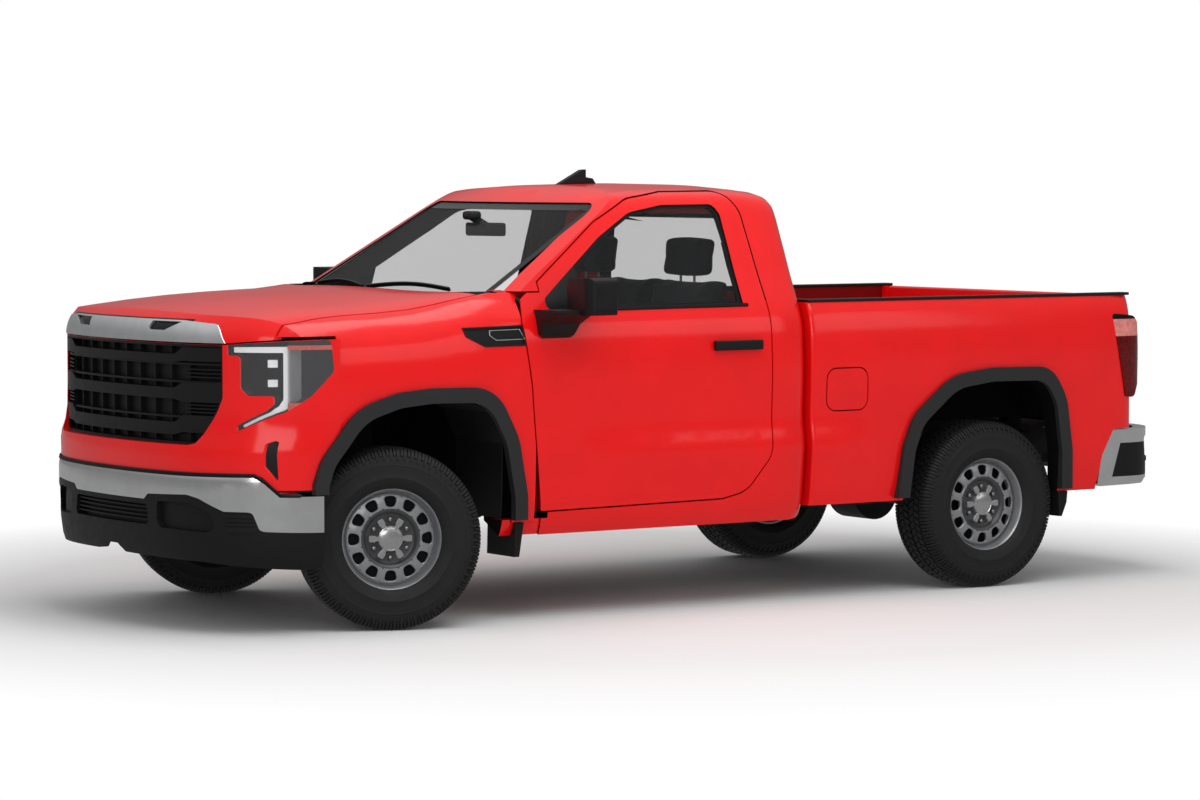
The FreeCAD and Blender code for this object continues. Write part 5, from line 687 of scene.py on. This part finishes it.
capLine = [(0.0490, 0.0570), (0.0690, 0.0562), (0.0735, 0.0535), (0.0745, 0.0500), (0.0722, 0.0480), (0.0735, 0.0455),
           (0.0775, 0.0260), (0.0788, 0.0002)]
print("wheel shapes ready")
for end in ("front", "rear"):
    for side in ("left", "right"):
        body = "wheel_" + end + "_" + side
        spot = wheelPlace(jointOf[body])
        tag = end.capitalize() + side.capitalize()
        carcass = lathe(tyreLine + [(-x, r) for x, r in tyreLine[::-1]])
        tread = repeated(treadPitch(), tyre["pitches"], "tyreRubber", turn=(math.radians(360 / tyre["pitches"]), 0, 0))
        join(carcass, tread)
        nuts = repeated(nutShape(), wheel["nuts"], "bareSteel", turn=(math.radians(60), 0, 0))
        claws = repeated(clawShape(), wheel["nuts"], "wheelBright", turn=(math.radians(60), 0, 0))
        join(claws, lathe(capLine, 48, closed=False))
        disc = repeated(windowSector(), wheel["windows"], "wheelSteel",
                        turn=(math.radians(360 / wheel["windows"]), 0, 0))
        join(disc, lathe(lipLine, 96))
        hub = lathe(discLine, 96, closed=False)
        brake = lathe(brakeLine, 64)
        for bm in (carcass, nuts, claws, disc, hub, brake):
            bm.transform(spot)
            if spot.to_3x3().determinant() < 0:
                bmesh.ops.reverse_faces(bm, faces=bm.faces)
        newPiece("tyre" + tag, carcass, ["tyreRubber"], body, ("tyre_" + end + "_" + side,), 30)
        newPiece("wheelDisc" + tag, disc, ["wheelSteel"], body, ("rim_" + end + "_" + side,), 32)
        # The hub bowl takes the darker steel: painted shade in the recessed hub bowl
        newPiece("wheelHub" + tag, hub, ["wheelBowlShade"], body, ("rim_" + end + "_" + side,), 32)
        newPiece("brakeRotor" + tag, brake, ["chassisCoat"], body, ("rim_" + end + "_" + side,))
        newPiece("wheelNuts" + tag, nuts, ["bareSteel"], body)
        newPiece("wheelCap" + tag, claws, ["wheelBright"], body)
print("wheels built")


# Strips and bands that lie on a CAD surface
def outerFaces(node, way):
    bm = meshOf(node)
    bm.normal_update()
    way = Vector(way).normalized()
    gone = [face for face in bm.faces if face.normal.dot(way) < 0.45]
    bmesh.ops.delete(bm, geom=gone, context="FACES")
    return bm


def boundaryLoops(bm):
    open_ = {edge for edge in bm.edges if len(edge.link_faces) == 1}
    loops = []
    while open_:
        edge = open_.pop()
        first, at = edge.verts
        loop = [first.co.copy(), at.co.copy()]
        while at is not first:
            nextEdge = next((e for e in at.link_edges if e in open_), None)
            if nextEdge is None:
                break
            open_.discard(nextEdge)
            at = nextEdge.other_vert(at)
            loop.append(at.co.copy())
        loops.append(loop)
    return sorted(loops, key=lambda loop: -sum((b - a).length for a, b in zip(loop, loop[1:])))


def resampled(line, count):
    lengths = [0.0]
    for a, b in zip(line, line[1:]):
        lengths.append(lengths[-1] + (b - a).length)
    out, j = [], 0
    for i in range(count):
        want = lengths[-1] * i / count
        while lengths[j + 1] < want:
            j += 1
        span = lengths[j + 1] - lengths[j]
        out.append(line[j].lerp(line[j + 1], (want - lengths[j]) / span if span else 0))
    return out


def bandOn(name, node, way, width, material, proud=0.0006, count=260):
    bm = outerFaces(node, way)
    loop = boundaryLoops(bm)[0]
    skin = BVHTree.FromBMesh(bm)
    bm.free()
    points = resampled(loop, count)
    middle = sum(points, Vector()) / count
    out = bmesh.new()
    rows = []
    for i, point in enumerate(points):
        along3 = (points[(i + 1) % count] - points[i - 1]).normalized()
        normal = skin.find_nearest(point)[1]
        inward = normal.cross(along3).normalized()
        if inward.dot(middle - point) < 0:
            inward = -inward
        inner, innerNormal, _, _ = skin.find_nearest(point + inward * (width(point) if callable(width) else width))
        rows.append([out.verts.new(point + normal * proud), out.verts.new(inner + innerNormal * proud),
                     out.verts.new(inner + innerNormal * proud * 0.2), out.verts.new(point + normal * proud * 0.2)])
    for i in range(count):
        one, two = rows[i], rows[(i + 1) % count]
        for j in range(4):
            k = (j + 1) % 4
            out.faces.new((one[j], one[k], two[k], two[j]))
    bmesh.ops.recalc_face_normals(out, faces=out.faces)
    return newPiece(name, out, [material], bodyOf[node])


def stripAlong(name, points, normals, width, height, material, body, closed=False):
    out = bmesh.new()
    rows = []
    count = len(points)
    shape = [(-0.5, -0.3), (-0.5, 0.55), (-0.36, 1.0), (0.36, 1.0), (0.5, 0.55), (0.5, -0.3)]
    for i, point in enumerate(points):
        before = points[i - 1] if closed or i else point
        after = points[(i + 1) % count] if closed or i < count - 1 else point
        run = (after - before).normalized()
        side = run.cross(normals[i]).normalized()
        rise = side.cross(run).normalized()
        rows.append([out.verts.new(point + side * a * width + rise * b * height) for a, b in shape])
    for one, two in zip(rows, rows[1:] + (rows[:1] if closed else [])):
        for j in range(len(shape)):
            k = (j + 1) % len(shape)
            out.faces.new((one[j], one[k], two[k], two[j]))
    if not closed:
        out.faces.new(rows[0])
        out.faces.new(rows[-1][::-1])
    bmesh.ops.recalc_face_normals(out, faces=out.faces)
    return newPiece(name, out, [material], body, sharp=50)


frit = {"screen": 0.034, "screenTop": 0.085, "door": 0.020, "rear": 0.022}
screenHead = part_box("windshield")[1].z


def screenBand(point):
    return frit["screenTop"] if point.z > screenHead - 0.035 else frit["screen"]


bandOn("screenFrit", "windshield", (0, -0.5, 0.86), screenBand, "glossBlack")
bandOn("rearWindowFrit", "rear_window", (0, 1, 0), frit["rear"], "glossBlack")
bandOn("doorFritLeft", "door_glass_left", (1, 0, 0.2), frit["door"], "gasketRubber")
bandOn("doorFritRight", "door_glass_right", (-1, 0, 0.2), frit["door"], "gasketRubber")
print("glass edges done")

belt = {"front": 0.2300, "back": 0.5650, "height": 0.7105, "rise": 0.0030, "width": 0.016, "thick": 0.007, "steps": 40}
for side, door in ((1, "door_left"), (-1, "door_right")):
    points, normals = [], []
    for i in range(belt["steps"] + 1):
        k = i / belt["steps"]
        start = (side * 1.3, along(belt["front"] + (belt["back"] - belt["front"]) * k),
                 up(belt["height"] + belt["rise"] * k))
        found = hit(door, start, (-side, 0, 0))
        if found and abs(found[0].x) > 0.85:
            points.append(found[0])
            normals.append(found[1])
    stripAlong("beltStrip" + ("Left" if side > 0 else "Right"), points, normals, belt["width"], belt["thick"],
               "gasketRubber", door)

ventFrame = {"shares": [(0.128, 0.6690), (0.192, 0.6710), (0.1935, 0.6590), (0.186, 0.6480), (0.138, 0.6470),
                        (0.128, 0.6580)],
             "width": 0.0035, "thick": 0.0016, "steps": 12}
for side in (1, -1):
    points, normals = [], []
    ring = ventFrame["shares"]
    for (a, b), (c, d) in zip(ring, ring[1:] + ring[:1]):
        for i in range(ventFrame["steps"]):
            k = i / ventFrame["steps"]
            found = hit("fender_vents", (side * 1.3, along(a + (c - a) * k), up(b + (d - b) * k)), (-side, 0, 0))
            if found:
                points.append(found[0])
                normals.append(Vector((side, 0, 0)))
    stripAlong("ventRim" + ("Left" if side > 0 else "Right"), points, normals, ventFrame["width"], ventFrame["thick"],
               "satinSilver", bodyOf["fender_vents"], closed=True)

wipers = {"blade": 0.58, "width": 0.011, "thick": 0.014, "lift": 0.006, "pivots": (0.56, -0.06), "foot": 0.7420,
          "reach": 0.10}
for number, x in enumerate(wipers["pivots"]):
    points, normals = [], []
    for i in range(25):
        k = i / 24
        px = x - wipers["blade"] * k
        pz = up(wipers["foot"]) + 0.018 * math.sin(math.pi * k) + 0.020
        found = hit("windshield", (px, -3.0, pz), (0, 1, 0))
        if found:
            points.append(found[0] + found[1] * wipers["lift"])
            normals.append(found[1])
    if len(points) > 5:
        stripAlong("wiperBlade" + str(number), points, normals, wipers["width"], wipers["thick"], "blackPlastic",
                   "body")
# A black strip along the gap between the fascia and the bumper's top edge, making that gap read dark
gapStrip = {"line": [(-0.995, 0.3140), (-0.9400, 0.3150), (-0.8860, 0.3590), (-0.600, 0.3580), (0.600, 0.3580),
                 (0.8860, 0.3590), (0.9400, 0.3150), (0.995, 0.3140)],
        "width": 0.016, "thick": 0.004, "step": 0.015}
points, normals = [], []
for (a, b), (c, d) in zip(gapStrip["line"], gapStrip["line"][1:]):
    for i in range(max(int(abs(c - a) / gapStrip["step"]), 1)):
        k = i / max(int(abs(c - a) / gapStrip["step"]), 1)
        found = hit("front_bumper", (a + (c - a) * k, -4.0, up(b + (d - b) * k) - 0.007), (0, 1, 0))
        if found and found[0].y < -2.0:
            points.append(found[0] + Vector((0, 0, 0.008)))
            normals.append(Vector((0, -1, 0.2)).normalized())
stripAlong("bumperGapStrip", points, normals, gapStrip["width"], gapStrip["thick"], "gasketRubber", bodyOf["front_bumper"])
print("strips done")

cabMirror = {"size": (0.250, 0.030, 0.062), "at": (0, 0.105, -0.035), "z": 0.9080, "tilt": 12,
             "arm": (0.034, 0.150, 0.034), "armAt": (0, 0.066, 0.004), "armTilt": -28,
             "shoe": (0.085, 0.060, 0.040), "shoeAt": (0, 0.030, 0.030)}


def roundedBox(size, bevel, segments=3):
    bm = bmesh.new()
    bmesh.ops.create_cube(bm, size=1.0)
    for vert in bm.verts:
        vert.co = Vector([c * s for c, s in zip(vert.co, size)])
    bmesh.ops.bevel(bm, geom=bm.edges[:], offset=bevel, segments=segments, affect="EDGES", profile=0.5)
    return bm


glassSpot = hit("windshield", (0, -3.0, up(cabMirror["z"])), (0, 1, 0))[0]
shell = roundedBox(cabMirror["size"], 0.012, 4)
turn = Matrix.Rotation(math.radians(cabMirror["tilt"]), 4, "Z")
shell.transform(Matrix.Translation(glassSpot + Vector(cabMirror["at"])) @ turn)
arm = roundedBox(cabMirror["arm"], 0.010)
turn = Matrix.Rotation(math.radians(cabMirror["armTilt"]), 4, "X")
arm.transform(Matrix.Translation(glassSpot + Vector(cabMirror["armAt"])) @ turn)
join(shell, arm)
shoe = roundedBox(cabMirror["shoe"], 0.014)
shoe.transform(Matrix.Translation(glassSpot + Vector(cabMirror["shoeAt"])))
join(shell, shoe)
newPiece("cabMirror", shell, ["cabinPlastic"], "body")

ribs = {"count": 15, "pitch": 0.078, "width": 0.046, "height": 0.0055, "front": 0.7080, "back": 1.2540}
floorTop = hit("box_floor", (0, along(1.0), 1.2), (0, 0, -1))[0].z
rib = bmesh.new()
ribLine = [(-0.5, 0.0), (-0.34, 1.0), (0.34, 1.0), (0.5, 0.0)]
ends = [[rib.verts.new((a * ribs["width"], y, floorTop - 0.0008 + b * ribs["height"])) for a, b in ribLine]
        for y in (along(ribs["front"]), along(ribs["back"]))]
for j in range(4):
    k = (j + 1) % 4
    rib.faces.new((ends[0][j], ends[0][k], ends[1][k], ends[1][j]))
rib.faces.new(ends[0])
rib.faces.new(ends[1][::-1])
bmesh.ops.recalc_face_normals(rib, faces=rib.faces)
rib.transform(Matrix.Translation((-ribs["pitch"] * (ribs["count"] - 1) / 2, 0, 0)))
floorRibs = repeated(rib, ribs["count"], "paintRed", move=(ribs["pitch"], 0, 0))
newPiece("loadFloorRibs", floorRibs, ["paintRed"], bodyOf["box_floor"])
print("load floor ribbed")


# Bench seat: cushions blown up a little by cloth simulation
seat = {"cushion": ((0.3600, 0.5200), (0.405, 0.478)), "voxel": 0.009, "pressure": 4.0, "cap": 0.020, "frames": 18,
        "places": (("Left", 0.455, 0.236), ("Middle", 0.0, 0.205), ("Right", -0.455, 0.236)), "fill": 0.75,
        "restHalf": 0.148, "restX": 0.400, "restFill": 0.9, "restCap": 0.008,
        "postRadius": 0.006, "postLength": 0.075, "postGap": 0.055, "postY": 0.5835, "postZ": 0.758}


def seatShape(half, corners, bevel):
    bm = bmesh.new()
    left = [bm.verts.new((-half, along(y), up(z))) for y, z in corners]
    right = [bm.verts.new((half, along(y), up(z))) for y, z in corners]
    for j in range(len(corners)):
        k = (j + 1) % len(corners)
        bm.faces.new((left[j], left[k], right[k], right[j]))
    bm.faces.new(left[::-1])
    bm.faces.new(right)
    bmesh.ops.recalc_face_normals(bm, faces=bm.faces)
    bmesh.ops.bevel(bm, geom=bm.edges[:], offset=bevel, segments=4, affect="EDGES", profile=0.5)
    return bm


def padPiece(name, bm, cap=None):
    mesh = bpy.data.meshes.new(name)
    bm.to_mesh(mesh)
    bm.free()
    pad = bpy.data.objects.new(name, mesh)
    scene.collection.objects.link(pad)
    remesh = pad.modifiers.new("remesh", "REMESH")
    remesh.mode = "VOXEL"
    remesh.voxel_size = seat["voxel"]
    remesh.use_smooth_shade = True
    settle(pad)
    swell(pad, cap or seat["cap"])
    finer = pad.modifiers.new("finer", "SUBSURF")
    finer.levels = finer.render_levels = 1
    settle(pad)
    pad.data.materials.clear()
    pad.data.materials.append(mats["seatCloth"])
    for polygon in pad.data.polygons:
        polygon.use_smooth = True
    finishPiece(pad, bodyOf["bench_seat"], ("bench_seat",))
    return pad


def settle(piece):
    depsgraph = bpy.context.evaluated_depsgraph_get()
    made = bpy.data.meshes.new_from_object(piece.evaluated_get(depsgraph))
    piece.modifiers.clear()
    old = piece.data
    piece.data = made
    bpy.data.meshes.remove(old)


def swell(pad, cap):
    rest = [vert.co.copy() for vert in pad.data.vertices]
    cloth = pad.modifiers.new("swell", "CLOTH")
    cloth.settings.use_pressure = True
    cloth.settings.uniform_pressure_force = seat["pressure"]
    cloth.settings.effector_weights.gravity = 0
    cloth.settings.quality = 5
    cloth.point_cache.frame_start, cloth.point_cache.frame_end = 1, seat["frames"]
    for number in range(1, seat["frames"] + 1):
        scene.frame_set(number)
    settle(pad)
    scene.frame_set(1)
    for vert, start in zip(pad.data.vertices, rest):
        move = vert.co - start
        if move.length > cap:
            vert.co = start + move.normalized() * cap


(cushionFront, cushionBack), (cushionLow, cushionHigh) = seat["cushion"]
cushionLine = [(cushionFront + 0.004, cushionLow), (cushionBack, cushionLow), (cushionBack, cushionHigh - 0.006),
               (cushionFront + 0.002, cushionHigh)]
backLine = [(0.508, 0.470), (0.554, 0.470), (0.599, 0.770), (0.563, 0.770)]
restLine = [(0.568, 0.778), (0.598, 0.778), (0.604, 0.866), (0.574, 0.866)]
for name, line in (("seatCushion", cushionLine), ("seatBack", backLine)):
    for tag, middle, half in seat["places"]:
        block = seatShape(half, line, 0.026)
        block.transform(Matrix.Translation((middle, 0, 0)))
        padPiece(name + tag, block)
for side in (1, -1):
    rest = seatShape(seat["restHalf"], restLine, 0.024)
    rest.transform(Matrix.Translation((side * seat["restX"], 0, 0)))
    padPiece("headRest" + ("Left" if side > 0 else "Right"), rest,
             seat["restCap"])
posts = None
for side in (1, -1):
    for off in (-seat["postGap"], seat["postGap"]):
        post = bmesh.new()
        bmesh.ops.create_cone(post, segments=12, radius1=seat["postRadius"], radius2=seat["postRadius"],
                              depth=seat["postLength"], cap_ends=True)
        post.transform(Matrix.Translation((side * seat["restX"] + off, along(seat["postY"]), up(seat["postZ"]))))
        if posts is None:
            posts = post
        else:
            join(posts, post)
newPiece("headRestPosts", posts, ["bareSteel"], bodyOf["bench_seat"])
plinth = seatShape(0.60, [(0.3790, 0.3010), (0.5000, 0.3010), (0.5000, 0.404), (0.3790, 0.404)], 0.012)
newPiece("seatPlinth", plinth, ["cabinPlastic"], bodyOf["bench_seat"], ("bench_seat",))
print("seat padded")

view = {"azimuth": 56.1, "elevation": 3.31, "lens": 4054 / 1200 * 36, "at": (15.88, -9.02 - 1.715, 2.00)}


def addCamera():
    data = bpy.data.cameras.new("photoCamera")
    data.sensor_width = 36
    data.lens = view["lens"]
    data.clip_end = 200
    camera = bpy.data.objects.new("photoCamera", data)
    scene.collection.objects.link(camera)
    azimuth, elevation = math.radians(view["azimuth"]), math.radians(view["elevation"])
    look = Vector((-math.sin(azimuth) * math.cos(elevation), math.cos(azimuth) * math.cos(elevation),
                   -math.sin(elevation)))
    camera.location = view["at"]
    camera.rotation_euler = look.to_track_quat("-Z", "Y").to_euler()
    scene.camera = camera


addCamera()
# The floor fades to white between the two rings, and what shines sees a sky that is bright only high up
studio = {"world": 0.50, "top": 380.0, "front": 150.0, "side": 50.0, "floorTint": 0.80, "floorRough": 0.7,
          "floorGlow": 0.0, "floorSize": 120, "nearRing": 2.9, "farRing": 4.6, "skyFrom": 0.10, "skyTo": 0.75,
          "mirrorLow": 0.20, "mirrorHigh": 0.70, "floorMirror": 0.32}


def addLamp(name, at, target, size, power):
    data = bpy.data.lights.new(name, "AREA")
    data.shape = "RECTANGLE"
    data.size, data.size_y = size
    data.energy = power
    lamp = bpy.data.objects.new(name, data)
    lamp.location = at
    lamp.rotation_euler = (Vector(target) - Vector(at)).to_track_quat("-Z", "Y").to_euler()
    scene.collection.objects.link(lamp)


addLamp("topLamp", (2.5, -1, 7), (0, 0, 0.8), (5, 9), studio["top"])
addLamp("frontLamp", (8, -8, 3.4), (0, 0, 1), (6, 3), studio["front"])
addLamp("sideLamp", (9, 5, 4), (0, 0, 1), (5, 3), studio["side"])


def addFloor():
    material = bpy.data.materials.new("paleFloor")
    material.use_nodes = True
    tree = material.node_tree
    shader = tree.nodes["Principled BSDF"]
    shader.inputs["Base Color"].default_value = (studio["floorTint"],) * 3 + (1,)
    shader.inputs["Roughness"].default_value = studio["floorRough"]
    glow = tree.nodes.new("ShaderNodeEmission")
    mixer = tree.nodes.new("ShaderNodeMixShader")
    spot = tree.nodes.new("ShaderNodeTexCoord")
    distance = tree.nodes.new("ShaderNodeVectorMath")
    distance.operation = "LENGTH"
    fade = tree.nodes.new("ShaderNodeMapRange")
    fade.inputs["From Min"].default_value = studio["nearRing"]
    fade.inputs["From Max"].default_value = studio["farRing"]
    fade.inputs["To Min"].default_value = studio["floorGlow"]
    tree.links.new(spot.outputs["Object"], distance.inputs[0])
    tree.links.new(distance.outputs["Value"], fade.inputs["Value"])
    tree.links.new(fade.outputs["Result"], mixer.inputs["Fac"])
    tree.links.new(shader.outputs[0], mixer.inputs[1])
    tree.links.new(glow.outputs[0], mixer.inputs[2])
    rays = tree.nodes.new("ShaderNodeLightPath")
    dull = tree.nodes.new("ShaderNodeEmission")
    dull.inputs["Strength"].default_value = studio["floorMirror"]
    choice = tree.nodes.new("ShaderNodeMixShader")
    tree.links.new(rays.outputs["Is Glossy Ray"], choice.inputs["Fac"])
    tree.links.new(mixer.outputs[0], choice.inputs[1])
    tree.links.new(dull.outputs[0], choice.inputs[2])
    tree.links.new(choice.outputs[0], tree.nodes["Material Output"].inputs["Surface"])
    bpy.ops.mesh.primitive_plane_add(size=studio["floorSize"], location=(0, 0, 0))
    plane = bpy.context.object
    plane.name = "studioFloor"
    plane.data.materials.append(material)


def addWorld():
    world = bpy.data.worlds.new("studio")
    scene.world = world
    world.use_nodes = True
    tree = world.node_tree
    back = tree.nodes["Background"]
    rays = tree.nodes.new("ShaderNodeLightPath")
    place = tree.nodes.new("ShaderNodeTexCoord")
    parts = tree.nodes.new("ShaderNodeSeparateXYZ")
    tree.links.new(place.outputs["Generated"], parts.inputs[0])
    sky = tree.nodes.new("ShaderNodeMapRange")
    sky.interpolation_type = "SMOOTHSTEP"
    for socket, value in (("From Min", studio["skyFrom"]), ("From Max", studio["skyTo"]),
                          ("To Min", studio["mirrorLow"]), ("To Max", studio["mirrorHigh"])):
        sky.inputs[socket].default_value = value
    tree.links.new(parts.outputs["Z"], sky.inputs["Value"])
    mirrored = tree.nodes.new("ShaderNodeMath")
    mirrored.operation = "MULTIPLY"
    tree.links.new(rays.outputs["Is Glossy Ray"], mirrored.inputs[0])
    tree.links.new(sky.outputs["Result"], mirrored.inputs[1])
    plain = tree.nodes.new("ShaderNodeMath")
    plain.operation = "SUBTRACT"
    plain.inputs[0].default_value = 1
    tree.links.new(rays.outputs["Is Glossy Ray"], plain.inputs[1])
    most = [tree.nodes.new("ShaderNodeMath") for _ in range(2)]
    for node, ray in zip(most, ("Is Camera Ray", "Is Transmission Ray")):
        node.operation = "MAXIMUM"
        tree.links.new(rays.outputs[ray], node.inputs[0])
    most[0].inputs[1].default_value = studio["world"]
    tree.links.new(most[0].outputs[0], most[1].inputs[1])
    total = tree.nodes.new("ShaderNodeMath")
    total.operation = "MULTIPLY_ADD"
    tree.links.new(plain.outputs[0], total.inputs[0])
    tree.links.new(most[1].outputs[0], total.inputs[1])
    tree.links.new(mirrored.outputs[0], total.inputs[2])
    tree.links.new(total.outputs[0], back.inputs["Strength"])
    back.inputs["Color"].default_value = (1, 1, 1, 1)


addFloor()
addWorld()
scene.view_settings.view_transform = "Standard"
print("studio lit")
